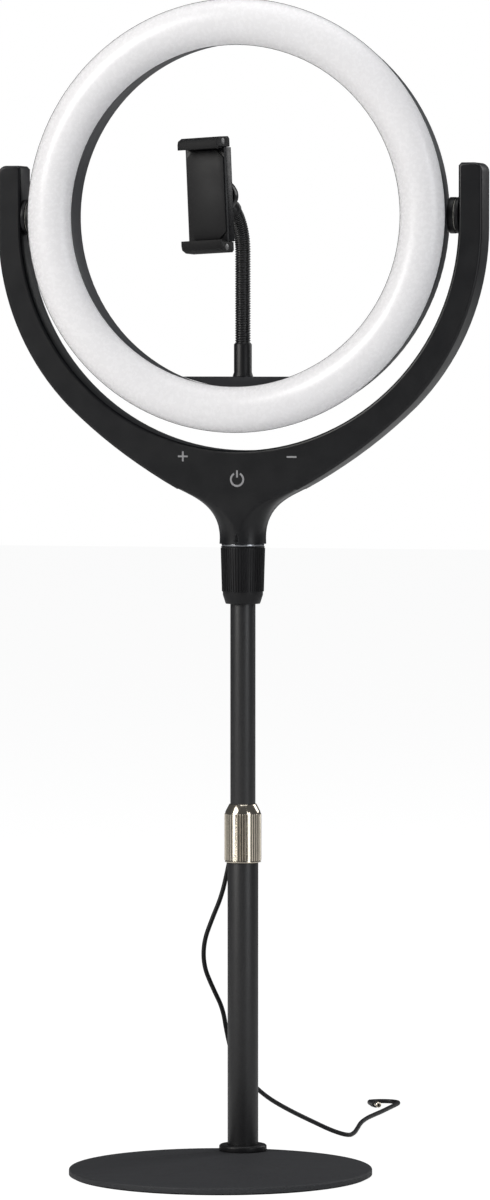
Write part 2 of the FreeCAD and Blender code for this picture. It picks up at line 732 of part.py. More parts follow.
bush_sleeve = S["shaft_radius"] + S["running"] + S["bush_wall"]
yoke_front = yoke_shell("yoke_front", S["yoke_front_depth"], False)
posts = new_sketch(yoke_front)
for x, y in screw_places:
    circle(posts, x, y, boss_radius)
pad(yoke_front, posts, S["yoke_front_depth"] - S["yoke_wall"] / 2)
board_front = S["board_seat"] + S["board_thickness"]
board_posts = new_sketch(yoke_front, shift=board_front)
for side in (-1, 1):
    circle(board_posts, side * 22.0, S["board_low"] + S["board_height"] / 2, boss_radius)
pad(yoke_front, board_posts, S["yoke_front_depth"] - S["yoke_wall"] / 2 - board_front)
cores = new_sketch(yoke_front)
for x, y in screw_places:
    circle(cores, x, y, screw_core + S["seated"])
cut(yoke_front, cores, 9.0)
pivot_holes(yoke_front)

yoke_back = yoke_shell("yoke_back", S["yoke_back_depth"], True)
sleeves = new_sketch(yoke_back)
for x, y in screw_places:
    circle(sleeves, x, y, boss_radius)
pad(yoke_back, sleeves, S["yoke_back_depth"] - S["yoke_wall"] / 2, True)
through = new_sketch(yoke_back)
for x, y in screw_places:
    circle(through, x, y, screw_core + S["seated"])
cut(yoke_back, through, S["yoke_back_depth"] + 1.0, False)
head_holes = new_sketch(yoke_back, shift=-(S["yoke_back_depth"] - head_depth))
for x, y in screw_places:
    circle(head_holes, x, y, head_radius + S["free_gap"])
cut(yoke_back, head_holes, head_depth + 1.0, False)
pivot_holes(yoke_back)

yoke_screws = new_body("yoke_screws", front_place)
heads = new_sketch(yoke_screws, shift=-(S["yoke_back_depth"] - head_depth))
shanks = new_sketch(yoke_screws, shift=-(S["yoke_back_depth"] - head_depth))
for x, y in screw_places:
    circle(heads, x, y, head_radius)
    circle(shanks, x, y, screw_core)
pad(yoke_screws, heads, head_depth - 0.2, True)
pad(yoke_screws, shanks, S["yoke_back_depth"] - head_depth + 8.0)

# ---------------------------------------------------------------- electronics in the yoke
control_board = new_body("control_board", front_place)
board_top = S["board_low"] + S["board_height"]
board_shape = [(-28.0, S["board_low"]), (28.0, S["board_low"]), (52.0, board_top), (-52.0, board_top)]
pad(control_board, outline(new_sketch(control_board, shift=S["board_seat"]), board_shape), S["board_thickness"])
chip_low = S["board_low"] + 4.0
chip = rectangle(new_sketch(control_board, shift=S["board_seat"]), -14.0, chip_low, -4.0, chip_low + 10.0)
pad(control_board, chip, 1.4, True)
socket = rectangle(new_sketch(control_board, shift=S["board_seat"]), 4.0, chip_low - 2.0, 14.0, chip_low + 5.0)
pad(control_board, socket, 4.0, True)

KEYS = ((-S["key_spread"], S["key_height"]), (S["key_spread"], S["key_height"]), (0.0, S["power_height"]))
inner_front = S["yoke_front_depth"] - S["yoke_wall"]
touch_springs = new_body("touch_springs", front_place)
pads = new_sketch(touch_springs, shift=board_front)
for x, y in KEYS:
    circle(pads, x, y, 3.6)
pad(touch_springs, pads, inner_front - board_front)

# The icons are thin prints on the front face: plus, minus and power.
icons = new_body("touch_icons", front_place)
print_plane = S["yoke_front_depth"]
arm = 3.5
bar = 0.6
spread = S["key_spread"]
level = S["key_height"]
plus = [
    (-arm, -bar), (-bar, -bar), (-bar, -arm), (bar, -arm), (bar, -bar), (arm, -bar),
    (arm, bar), (bar, bar), (bar, arm), (-bar, arm), (-bar, bar), (-arm, bar),
]
prints = new_sketch(icons, shift=print_plane)
outline(prints, [(x - spread, y + level) for x, y in plus])
rectangle(prints, spread - arm, level - bar, spread + arm, level + bar)
rectangle(prints, -bar, S["power_height"] + 1.4, bar, S["power_height"] + 6.4)
power_outer = 5.1
power_inner = 3.8
gap_angle = math.radians(28)
gap_out = (power_outer * math.sin(gap_angle), power_outer * math.cos(gap_angle))
gap_in = (power_inner * math.sin(gap_angle), power_inner * math.cos(gap_angle))
low_out = S["power_height"] - power_outer
low_in = S["power_height"] - power_inner
outline(
    prints,
    [
        (gap_in[0], gap_in[1] + S["power_height"], -Size(power_inner, repr(power_inner))),
        (0.0, low_in, -Size(power_inner, repr(power_inner))),
        (-gap_in[0], gap_in[1] + S["power_height"]),
        (-gap_out[0], gap_out[1] + S["power_height"], Size(power_outer, repr(power_outer))),
        (0.0, low_out, Size(power_outer, repr(power_outer))),
        (gap_out[0], gap_out[1] + S["power_height"]),
    ],
)
pad(icons, prints, S["icon_depth"])

# A lead runs up inside the left arm, close to its inner wall, to the pivot.
LEAD_SPAN = 52.0
arm_lead = doc.addObject("Part::Torus", "arm_lead")
lead_radius = 1.1
bind(arm_lead, "Radius1", S["yoke_inner"] + S["yoke_wall"] + lead_radius + S["free_gap"])
arm_lead.Radius2 = lead_radius
arm_lead.Angle3 = LEAD_SPAN
lead_start = Rotation(Vector(0, 0, 1), 184)
lead_centre = Vector(0, S["yoke_back_depth"].value / 2, S["yoke_inner_height"].value)
arm_lead.Placement = Placement(lead_centre, FACING.multiply(lead_start))

# ---------------------------------------------------------------- pivots
washer_seat = S["hub_seat"] + S["hub_thickness"]
bush_seat = washer_seat + S["friction_thickness"]
bush_end = S["yoke_inner"] + S["yoke_wall"] + S["bush_reach"]
SIDES = (("left", -1), ("right", 1))
hub_screw_spread = 8.6
for side_name, side in SIDES:
    hub = new_body(f"pivot_hub_{side_name}", side_place(side))
    turn(
        hub,
        [
            (S["shaft_bore"], S["hub_seat"]),
            (S["hub_radius"], S["hub_seat"]),
            (S["hub_radius"], washer_seat),
            (S["shaft_radius"], washer_seat),
            (S["shaft_radius"], washer_seat + S["shaft_length"]),
            (S["shaft_bore"], washer_seat + S["shaft_length"]),
        ],
    )
    holes = new_sketch(hub, shift=S["hub_seat"] - 1.0)
    recesses = new_sketch(hub, shift=washer_seat - 1.8)
    for way in (-1, 1):
        circle(holes, 0.0, way * hub_screw_spread, screw_core + S["seated"])
        circle(recesses, 0.0, way * hub_screw_spread, head_radius + S["seated"])
    cut(hub, holes, S["hub_thickness"] + 2.0)
    cut(hub, recesses, 3.0)

friction = new_body("friction_washers", ring_place)
bushes = new_body("pivot_bushes", ring_place)
pivot_nuts = new_body("pivot_nuts", ring_place)
hub_screws = new_body("hub_screws", ring_place)


def disc_on_pivot(body, side, near, far, outer, inner=None):
    """A disc or ring on the pivot axis, between two distances from the middle."""
    sketch = circle(new_sketch(body, "YZ_Plane", side * near), 0.0, 0.0, outer)
    if inner is not None:
        circle(sketch, 0.0, 0.0, inner)
    pad(body, sketch, far - near, side < 0)


shaft_hole = S["shaft_radius"] + S["running"]
bush_shoulder = S["yoke_inner"] - 0.25  # the arm's inner face curves in a little below the pivot
for side_name, side in SIDES:
    disc_on_pivot(friction, side, washer_seat, bush_seat, S["hub_radius"] - 1.2, S["shaft_radius"] + 0.4)
    disc_on_pivot(bushes, side, bush_seat, bush_shoulder, S["hub_radius"], shaft_hole)
    disc_on_pivot(bushes, side, bush_shoulder, bush_end, bush_sleeve, shaft_hole)
    nut_near = bush_end + 0.1
    disc_on_pivot(pivot_nuts, side, nut_near, nut_near + S["pivot_nut_height"], S["pivot_nut_radius"],
                  S["shaft_radius"] + S["seated"])
    for way in (-1, 1):
        seat = new_sketch(hub_screws, "YZ_Plane", side * (washer_seat - 0.2))
        circle(seat, 0.0, way * hub_screw_spread, head_radius)
        pad(hub_screws, seat, 1.6, side > 0)
        shank = new_sketch(hub_screws, "YZ_Plane", side * (washer_seat - 0.2))
        circle(shank, 0.0, way * hub_screw_spread, screw_core)
        pad(hub_screws, shank, 8.0, side > 0)

# ---------------------------------------------------------------- ring
back = -S["back_behind"]
floor = back + S["ring_wall"]
height = S["rim_ahead"] + S["back_behind"]
outer_low = S["ring_outer"] - S["ring_draft"]
inner_low = S["ring_inner"] + S["hole_draft"]
outer_slope = S["ring_draft"] / height
inner_slope = S["hole_draft"] / height
round_top = back + S["ring_round"]
ring_shell = new_body("ring_shell", ring_place)
turn(
    ring_shell,
    [
        (outer_low - S["ring_round"], back, S["ring_round"]),
        (outer_low, round_top),
        (S["ring_outer"], S["rim_ahead"]),
        (S["ring_outer"] - S["ring_wall"], S["rim_ahead"]),
        (outer_low - S["ring_wall"], floor),
        (inner_low + S["ring_wall"], floor),
        (S["ring_inner"] + S["ring_wall"], S["rim_ahead"]),
        (S["ring_inner"], S["rim_ahead"]),
        (inner_low, round_top, S["ring_round"]),
        (inner_low + S["ring_round"], back),
    ],
    plane="XZ_Plane",
)
boss_start = S["ring_outer"] - S["ring_draft"] - 2.5
for side in (-1, 1):
    boss = circle(new_sketch(ring_shell, "YZ_Plane", side * boss_start), 0.0, 0.0, S["hub_radius"] - 1.0)
    pad(ring_shell, boss, S["hub_seat"] - boss_start, side < 0)
for side in (-1, 1):
    bores = new_sketch(ring_shell, "YZ_Plane", side * (boss_start - 1.0))
    circle(bores, 0.0, 0.0, S["shaft_bore"])
    for way in (-1, 1):
        circle(bores, 0.0, way * hub_screw_spread, screw_core + S["seated"])
    cut(ring_shell, bores, S["hub_seat"] - boss_start + 2.0, side > 0)

POSTS = 6
middle = (S["ring_outer"] + S["ring_inner"]) / 2
back_holes = circle(new_sketch(ring_shell, shift=back - 1.0), 0.0, middle, screw_core + S["seated"])
ring_of(ring_shell, cut(ring_shell, back_holes, S["ring_wall"] + 2.0), POSTS)
head_wells = circle(new_sketch(ring_shell, shift=back - 1.0), 0.0, middle, head_radius + S["free_gap"])
ring_of(ring_shell, cut(ring_shell, head_wells, 1.0 + head_depth * 0.7), POSTS)
BRACKET_SCREW = 20.0
bracket_middle = -S["pivot_offset"]
wall_holes = new_sketch(ring_shell, "XZ_Plane", S["chord_drop"])
for way in (-1, 1):
    circle(wall_holes, way * BRACKET_SCREW, bracket_middle, screw_core + S["seated"])
cut(ring_shell, wall_holes, 14.0)

board_floor = floor + 1.6
led_board = new_body("led_board", ring_place)
annulus = new_sketch(led_board, shift=floor)
circle(annulus, 0.0, 0.0, S["board_ring_outer"])
circle(annulus, 0.0, 0.0, S["board_ring_inner"])
pad(led_board, annulus, 1.6)
post_holes = circle(new_sketch(led_board, shift=floor - 1.0), 0.0, middle, screw_core + S["seated"])
ring_of(led_board, cut(led_board, post_holes, 4.0), POSTS)

LEDS = 36
leds = new_body("leds", ring_place)
led_half = S["led_size"] / 2
row_gap = S["led_row_gap"] / 2
lamps = new_sketch(leds, shift=board_floor)
for reach in (middle - row_gap, middle + row_gap):
    rectangle(lamps, reach - led_half, -led_half, reach + led_half, led_half)
ring_of(leds, pad(leds, lamps, S["led_height"]), LEDS)

dome_edge = S["ring_outer"] - 0.3
dome_inside = S["ring_inner"] + 0.3
skirt = 1.6
skirt_low = S["rim_ahead"] - S["skirt_depth"]
skirt_out = S["ring_outer"] - S["ring_wall"] - 0.8
skirt_in = S["ring_inner"] + S["ring_wall"] + 0.6
half_span = (skirt_out - skirt_in) / 2 - skirt
inner_rise = S["dome_height"] - S["dome_wall"]
inner_bend = (half_span * half_span + inner_rise * inner_rise) / (inner_rise * 2.0)
diffuser = new_body("diffuser", ring_place)
turn(
    diffuser,
    [
        (dome_edge, S["rim_ahead"], S["dome_radius"]),
        (dome_inside, S["rim_ahead"]),
        (skirt_in, S["rim_ahead"]),
        (skirt_in, skirt_low),
        (skirt_in + skirt, skirt_low),
        (skirt_in + skirt, S["rim_ahead"], -inner_bend),
        (skirt_out - skirt, S["rim_ahead"]),
        (skirt_out - skirt, skirt_low),
        (skirt_out, skirt_low),
        (skirt_out, S["rim_ahead"]),
    ],
)
post = circle(new_sketch(diffuser, shift=board_floor), 0.0, middle, S["post_radius"])
post_length = S["rim_ahead"] + inner_rise + 0.7 - board_floor
ring_of(diffuser, pad(diffuser, post, post_length), POSTS)
post_core = circle(new_sketch(diffuser, shift=board_floor), 0.0, middle, screw_core + S["seated"])
ring_of(diffuser, cut(diffuser, post_core, 8.0), POSTS)

ring_screws = new_body("ring_screws", ring_place)
well = back + head_depth * 0.7
ring_head = circle(new_sketch(ring_screws, shift=well), 0.0, middle, head_radius)
ring_of(ring_screws, pad(ring_screws, ring_head, head_depth * 0.6, True), POSTS)
ring_shank = circle(new_sketch(ring_screws, shift=well), 0.0, middle, screw_core)
ring_of(ring_screws, pad(ring_screws, ring_shank, 9.0), POSTS)

# ---------------------------------------------------------------- bracket and gooseneck
bracket = new_body("holder_bracket", ring_place)
bracket_back = bracket_middle - S["bracket_depth"] / 2
hole_here = S["ring_inner"] + inner_slope * (S["rim_ahead"] - bracket_middle - S["bracket_depth"] / 2)
bracket_round = hole_here - 0.3
chord = root_of(bracket_round * bracket_round - S["chord_drop"] * S["chord_drop"])
segment = new_sketch(bracket, shift=bracket_back)
outline(
    segment,
    [
        (chord, -S["chord_drop"]),
        (-chord, -S["chord_drop"], bracket_round),
        (0.0, -bracket_round, bracket_round),
    ],
)
pad(bracket, segment, S["bracket_depth"])
spigot = 4.0
socket_hole = circle(new_sketch(bracket, "XZ_Plane", S["chord_drop"] - 1.0), 0.0, bracket_middle, spigot + 0.05)
cut(bracket, socket_hole, 6.0)
drilled = new_sketch(bracket, "XZ_Plane", S["chord_drop"] - 1.0)
for way in (-1, 1):
    circle(drilled, way * BRACKET_SCREW, bracket_middle, screw_core + S["seated"])
cut(bracket, drilled, 14.0)
sunk = new_sketch(bracket, "XZ_Plane", S["chord_drop"] - 1.0)
for way in (-1, 1):
    circle(sunk, way * BRACKET_SCREW, bracket_middle, head_radius + S["free_gap"])
cut(bracket, sunk, 1.0 + head_depth)

bracket_screws = new_body("bracket_screws", ring_place)
for radius, start, length in ((head_radius, 0.2, head_depth - 0.2), (screw_core, head_depth, 9.0)):
    sketch = new_sketch(bracket_screws, "XZ_Plane", S["chord_drop"] + start)
    for way in (-1, 1):
        circle(sketch, way * BRACKET_SCREW, bracket_middle, radius)
    pad(bracket_screws, sketch, length)

shelf = S["ring_height"] - S["chord_drop"]
neck_low = shelf + S["neck_base_height"]
lathe(
    "neck_base",
    [
        (0.0, shelf - 4.5),
        (spigot, shelf - 4.5),
        (spigot, shelf),
        (S["neck_base_radius"] + 1.0, shelf),
        (S["neck_base_radius"], shelf + 3.0),
        (S["neck_base_radius"], neck_low - 1.0),
        (S["neck_base_radius"] - 0.6, neck_low),
        (0.0, neck_low),
    ],
)

yaw = Rotation(Vector(0, 0, 1), -S["clamp_yaw"].value)
ahead = yaw.multVec(Vector(0, -1, 0))
bend_turn = math.radians(S["neck_turn"].value)
neck_way = ahead * math.sin(bend_turn) + Vector(0, 0, math.cos(bend_turn))
bend_start = Vector(0, 0, neck_low.value + S["neck_straight"].value)
bend_radius = S["neck_bend"].value
bend_centre = bend_start + ahead * bend_radius


def on_bend(angle):
    return bend_centre - ahead * (bend_radius * math.cos(angle)) + Vector(0, 0, bend_radius * math.sin(angle))


neck_end = on_bend(bend_turn)
ball_centre = neck_end + neck_way * S["ball_reach"].value
neck_line = Part.LineSegment(Vector(0, 0, neck_low.value), bend_start).toShape()
neck_arc = Part.Arc(bend_start, on_bend(bend_turn / 2), neck_end).toShape()


def swept(name, path, radius, start, way):
    """A round rod along a wire, checked against its section times its length."""
    section = Part.Wire(Part.makeCircle(radius, start, way))
    shape = path.makePipeShell([section], True, False)
    expected = math.pi * radius**2 * path.Length
    if abs(shape.Volume - expected) > 0.01 * expected:
        raise RuntimeError(f"{name}: volume {shape.Volume:.1f}, expected {expected:.1f}")
    rod = doc.addObject("Part::Feature", name)
    rod.Label = name
    rod.Shape = shape
    return rod


neck_path = Part.Wire([neck_line, neck_arc])
swept("neck_sleeve", neck_path, S["neck_radius"].value, neck_path.Vertexes[0].Point, Vector(0, 0, 1))

along_neck = Rotation(Vector(0, 0, 1), neck_way)
ball_place = Placement(ball_centre, along_neck)
stud_meets = -root_of(S["ball_radius"] * S["ball_radius"] - S["stud_radius"] * S["stud_radius"])
stud_end = -S["ball_reach"]
lathe(
    "ball_stud",
    [
        (0.0, stud_end),
        (S["stud_radius"], stud_end),
        (S["stud_radius"], stud_meets, S["ball_radius"]),
        (0.0, S["ball_radius"]),
    ],
    ball_place,
)
lathe(
    "neck_ferrule",
    [
        (S["stud_radius"] + S["seated"], stud_end),
        (S["neck_radius"] + 0.5, stud_end),
        (S["neck_radius"] + 0.5, stud_end + 3.0),
        (S["stud_radius"] + 1.6, -9.2),
        (S["stud_radius"] + S["seated"], -9.2),
    ],
    ball_place,
)

# ---------------------------------------------------------------- ball socket
lean = Rotation(Vector(0, 1, 0), -S["clamp_lean"].value)
clamp_turn = yaw.multiply(lean)
clamp_place = Placement(ball_centre, clamp_turn)
socket_place = Placement(ball_centre, clamp_turn.multiply(Rotation(Vector(1, 0, 0), -90)))
inside_ball = S["ball_radius"] + S["running"]
lip = 2.6
lip_radius = root_of(inside_ball * inside_ball - lip * lip)
lathe(
    "ball_liner",
    [
        (0.0, -inside_ball, inside_ball),
        (lip_radius, lip),
        (S["liner_radius"], lip),
        (S["liner_radius"], -inside_ball - 2.0),
        (0.0, -inside_ball - 2.0),
    ],
    socket_place,
)
body_back = -(S["clamp_ahead"] - S["clamp_depth"] / 2)
cup_bore = S["liner_radius"] + S["running"]
cup_outer = cup_bore + S["cup_wall"]
lathe(
    "clamp_socket",
    [
        (0.0, body_back),
        (11.5, body_back),
        (11.5, body_back + 2.0),
        (cup_outer, body_back + 4.0),
        (cup_outer, 1.0),
        (cup_bore, 1.0),
        (cup_bore, -inside_ball - 2.1),
        (0.0, -inside_ball - 2.1),
    ],
    socket_place,
)
socket_nut = new_body("socket_nut", socket_place)
turn(
    socket_nut,
    [
        (cup_outer + S["running"], -6.0),
        (S["socket_nut_radius"], -6.0),
        (S["socket_nut_radius"], -1.5),
        (S["liner_radius"], 3.4),
        (S["ball_radius"] + 0.2, 3.4),
        (S["ball_radius"] + 0.2, lip + 0.1),
        (cup_outer + S["running"], lip + 0.1),
    ],
)

# ---------------------------------------------------------------- phone holder
half_width = S["clamp_width"] / 2
half_height = S["clamp_height"] / 2
face = -(S["clamp_ahead"] + S["clamp_depth"] / 2)
channel = new_body("clamp_channel", clamp_place)
inner_half = half_width - S["channel_wall"]
side_front = face + 1.0
inner_back = body_back - S["channel_wall"]
pad(
    channel,
    outline(
        new_sketch(channel, shift=-half_height),
        [
            (-half_width, side_front),
            (-inner_half, side_front),
            (-inner_half, inner_back),
            (inner_half, inner_back),
            (inner_half, side_front),
            (half_width, side_front),
            (half_width, body_back),
            (-half_width, body_back),
        ],
    ),
    S["clamp_height"],
)
slot_front = inner_back - S["slider_thickness"] - 0.6
clamp_body = new_body("clamp_body", clamp_place)
pad(
    clamp_body,
    outline(
        new_sketch(clamp_body, shift=-half_height),
        [
            (-half_width, face + 0.9),
            (-half_width + 0.9, face),
            (half_width - 0.9, face),
            (half_width, face + 0.9),
            (half_width, side_front - 0.05),
            (inner_half - 0.05, side_front - 0.05),
            (inner_half - 0.05, slot_front),
            (-inner_half + 0.05, slot_front),
            (-inner_half + 0.05, side_front - 0.05),
            (-half_width, side_front - 0.05),
        ],
    ),
    S["clamp_height"],
)
pad_half = half_width - 1.2
pad_top = half_height - 1.8
corner = 5.0
clamp_pad = new_body("clamp_pad", clamp_place)
pad(
    clamp_pad,
    outline(
        new_sketch(clamp_pad, "XZ_Plane", -face),
        [
            (-pad_half, -pad_top + corner),
            (-pad_half + corner, -pad_top),
            (pad_half - corner, -pad_top),
            (pad_half, -pad_top + corner),
            (pad_half, pad_top - corner),
            (pad_half - corner, pad_top),
            (-pad_half + corner, pad_top),
            (-pad_half, pad_top - corner),
        ],
    ),
    1.2,
)

jaw_seat = half_height + S["free_gap"]
jaw_outside = jaw_seat + S["jaw_thickness"]
jaw_tip = face - S["jaw_reach"]
jaw_back = body_back - 1.0


def jaw_outline(way):
    """Side view of a jaw, as (front-back, height) corners; way is 1 for the upper and -1 for the lower."""
    return [
        (jaw_back, way * jaw_seat),
        (jaw_back, way * (jaw_outside - 1.5)),
        (jaw_back - 2.0, way * jaw_outside),
        (jaw_tip + 6.0, way * (jaw_outside - 0.5)),
        (jaw_tip + 1.0, way * (jaw_outside - 2.5)),
        (jaw_tip, way * (jaw_outside - 5.0)),
        (jaw_tip, way * (jaw_seat - 1.5)),
        (jaw_tip + 1.5, way * (jaw_seat - 1.5)),
        (jaw_tip + 2.5, way * jaw_seat),
    ]


pin_depth = face - 2.0
pin_height = jaw_seat + S["jaw_thickness"] / 2


def make_jaw(name, way):
    """A jaw, its bore for the steel pin and the recesses for the pin's heads."""
    body = new_body(name, clamp_place)
    side = outline(new_sketch(body, "YZ_Plane", -(half_width - 0.3)), jaw_outline(way))
    pad(body, side, (half_width - 0.3) * 2.0)
    bore = circle(new_sketch(body, "YZ_Plane", -half_width), pin_depth, way * pin_height, 1.55)
    cut(body, bore, S["clamp_width"])
    for end in (-1, 1):
        recess = new_sketch(body, "YZ_Plane", end * (half_width - 1.4))
        circle(recess, pin_depth, way * pin_height, S["jaw_pin_radius"] + S["seated"])
        cut(body, recess, 2.0, end > 0)
    return body


def make_jaw_pin(name, way):
    body = new_body(name, clamp_place)
    core = circle(new_sketch(body, "YZ_Plane", -(half_width - 1.3)), pin_depth, way * pin_height, 1.5)
    pad(body, core, (half_width - 1.3) * 2.0)
    for end in (-1, 1):
        head = new_sketch(body, "YZ_Plane", end * (half_width - 1.4))
        circle(head, pin_depth, way * pin_height, S["jaw_pin_radius"])
        pad(body, head, 1.3, end < 0)
    return body


def make_jaw_pad(name, way):
    """A ribbed rubber lining on the side that grips the phone."""
    body = new_body(name, clamp_place)
    front = jaw_tip + 2.7
    rear = face - 1.5
    low = way * (jaw_seat - 1.1)
    strip = outline(
        new_sketch(body, "YZ_Plane", -(half_width - 1.5)),
        [(front, low), (rear, low), (rear, way * jaw_seat), (front, way * jaw_seat)],
    )
    pad(body, strip, (half_width - 1.5) * 2.0)
    return body


for jaw_name, way in (("upper", 1), ("lower", -1)):
    make_jaw(f"{jaw_name}_jaw", way)
    make_jaw_pin(f"{jaw_name}_jaw_pin", way)
    make_jaw_pad(f"{jaw_name}_jaw_pad", way)

# The lower jaw has a block that stands in the channel and anchors the springs.
anchor = 3.0
slot_middle = inner_back - 0.3 - S["slider_thickness"] / 2
lower_jaw = doc.getObject("lower_jaw")
block = rectangle(
    new_sketch(lower_jaw, shift=-jaw_seat - 0.5),
    -(inner_half - 0.2), slot_middle - S["slider_thickness"] / 2 + 0.1,
    inner_half - 0.2, slot_middle + S["slider_thickness"] / 2 - 0.1,
)
pad(lower_jaw, block, anchor + 0.5)

slider = new_body("jaw_slider", clamp_place)
slider_low = -half_height + 6.0
plate = rectangle(
    new_sketch(slider, shift=slider_low),
    -(S["slider_width"] / 2), slot_middle - S["slider_thickness"] / 2,
    S["slider_width"] / 2, slot_middle + S["slider_thickness"] / 2,
)
pad(slider, plate, jaw_seat - slider_low)
SPRING_TOP = 5.0
ears = rectangle(
    new_sketch(slider, shift=SPRING_TOP),
    -(inner_half - 0.4), slot_middle - S["slider_thickness"] / 2,
    inner_half - 0.4, slot_middle + S["slider_thickness"] / 2,
)
pad(slider, ears, 2.5)

spring_low = -jaw_seat + anchor
spring_place = S["slider_width"] / 2 + S["spring_radius"] + 0.8
springs = new_body("clamp_springs", clamp_place)
coils = new_sketch(springs, shift=spring_low)
for side in (-1, 1):
    circle(coils, side * spring_place, slot_middle, S["spring_radius"])
pad(springs, coils, SPRING_TOP - spring_low)

# ---------------------------------------------------------------- supply cable
# The route is given by hand, as the viewer's right, depth behind the pole and height: out of
# the grommet, down behind the pole, a loose bow, away over the table and back in a small loop.
ROUTE = [
    (0.0, 14.0, 378.0),
    (0.0, 27.0, 378.0),
    (-0.5, 35.0, 371.5),
    (-1.0, 39.2, 361.0),
    (-1.5, 40.6, 345.0),
    (-2.0, 40.0, 320.0),
    (-2.5, 38.0, 282.0),
    (-3.5, 34.0, 246.0),
    (-7.0, 30.0, 217.0),
    (-11.0, 28.0, 197.0),
    (-15.0, 27.5, 180.0),
    (-21.5, 27.0, 164.5),
    (-27.5, 27.0, 148.0),
    (-27.5, 27.2, 131.0),
    (-21.0, 27.6, 115.5),
    (-14.0, 28.6, 101.0),
    (-11.5, 31.0, 84.5),
    (-7.5, 36.5, 67.0),
    (2.0, 45.0, 50.5),
    (16.0, 58.0, 35.5),
    (33.0, 75.5, 23.5),
    (52.0, 92.5, 12.3),
    (64.0, 99.5, 5.8),
    (75.5, 104.5, 1.7),
    (80.0, 122.0, 1.6),
    (82.8, 150.0, 1.7),
    (85.5, 180.0, 1.6),
    (90.5, 206.0, 1.7),
    (96.6, 227.0, 1.6),
    (102.8, 246.0, 1.7),
    (108.5, 268.0, 1.6),
    (113.0, 283.0, 1.7),
    (116.5, 296.5, 1.7),
    (112.7, 303.6, 1.7),
    (105.2, 306.5, 1.7),
    (97.7, 303.8, 1.9),
    (93.8, 296.8, 2.3),
    (95.4, 289.0, 2.7),
]
view_turn = math.radians(CABLE_SIDE)


def seen(right, behind, up):
    """A point given as seen from the front right, in the row frame."""
    x = right * math.cos(view_turn) - behind * math.sin(view_turn)
    y = right * math.sin(view_turn) + behind * math.cos(view_turn)
    return Vector(x, y, up)


def rounded_path(points):
    """Straight runs joined by tangent arcs, each as large as its two runs allow."""
    edges = []
    radii = []
    here = points[0]
    for before, corner, after in zip(points, points[1:], points[2:]):
        back_way = before - corner
        on_way = after - corner
        shorter = min(back_way.Length, on_way.Length)
        half_turn = (math.pi - back_way.getAngle(on_way)) / 2
        reach = 0.45 * shorter
        radius = reach / math.tan(half_turn)
        radii.append(radius)
        start = corner + back_way.normalize() * reach
        end = corner + on_way.normalize() * reach
        inwards = (start + end) / 2 - corner
        centre_gap = radius / math.cos(half_turn)
        middle = corner + inwards.normalize() * (centre_gap - radius)
        edges.append(Part.LineSegment(here, start).toShape())
        edges.append(Part.Arc(start, middle, end).toShape())
        here = end
    edges.append(Part.LineSegment(here, points[-1]).toShape())
    return Part.Wire(edges), radii


cord_points = [seen(*place) for place in ROUTE]
cord_path, cord_radii = rounded_path(cord_points)
print("cord radii:", " ".join(f"{radius:.1f}" for radius in cord_radii))
print("cord length:", round(cord_path.Length, 1))
cord_start = (cord_points[1] - cord_points[0]).normalize()
swept("power_cable", cord_path, S["cord_radius"].value, cord_points[0], cord_start)

# ---------------------------------------------------------------- plug
# A slim barrel plug lies at the cable's end, its mouth towards the viewer.
plug_way = (cord_points[-1] - cord_points[-2]).normalize()
plug_turn = Rotation(Vector(0, 0, 1), plug_way)
plug_place = Placement(cord_points[-1] - plug_way * 4.2, plug_turn)
cable_hole = S["cord_radius"] + S["seated"]
barrel_start = S["plug_length"]
barrel_end = barrel_start + S["barrel_length"]
lathe(
    "plug_grip",
    [
        (cable_hole, 0.0),
        (S["cord_radius"] + 0.45, 0.0),
        (S["cord_radius"] + 0.7, 5.5),
        (S["plug_radius"] - 0.3, 7.5),
        (S["plug_radius"], 9.0),
        (S["plug_radius"], barrel_start - 0.5),
        (S["plug_radius"] - 0.5, barrel_start),
        (cable_hole, barrel_start),
    ],
    plug_place,
)
lathe(
    "plug_barrel",
    [
        (S["barrel_bore"], 8.0),
        (S["cord_radius"], 8.0),
        (S["cord_radius"], barrel_start),
        (S["barrel_radius"], barrel_start),
        (S["barrel_radius"], barrel_end - 0.4),
        (S["barrel_radius"] - 0.4, barrel_end),
        (S["barrel_bore"], barrel_end),
    ],
    plug_place,
)

# ---------------------------------------------------------------- checks and export
doc.recompute()
faults = []
for item in doc.Objects:
    if "Invalid" in item.State or "Error" in item.State:
        faults.append(f"{item.Name}: {item.State} {item.getStatusString()}")
    if item.TypeId in ("PartDesign::Pocket", "PartDesign::Groove") and item.BaseFeature:
        if item.Shape.isNull() or item.Shape.Volume >= item.BaseFeature.Shape.Volume - 1e-6:
            faults.append(f"{item.Name} cuts nothing")
pieces = [item for item in doc.Objects if item.TypeId.startswith("PartDesign::Body")]
pieces += [item for item in doc.Objects if item.TypeId in ("Part::Cylinder", "Part::Torus", "Part::Feature")]
for piece in pieces:
    if piece.Shape.isNull() or not piece.Shape.isValid():
        faults.append(f"{piece.Label}: the shape is null or not valid")
if faults:
    raise RuntimeError("\n".join(faults))
os.makedirs("parts", exist_ok=True)
for piece in pieces:
    piece.Shape.exportStep(f"parts/{piece.Label}.step")
print(len(pieces), "parts written")
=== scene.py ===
import json
import math

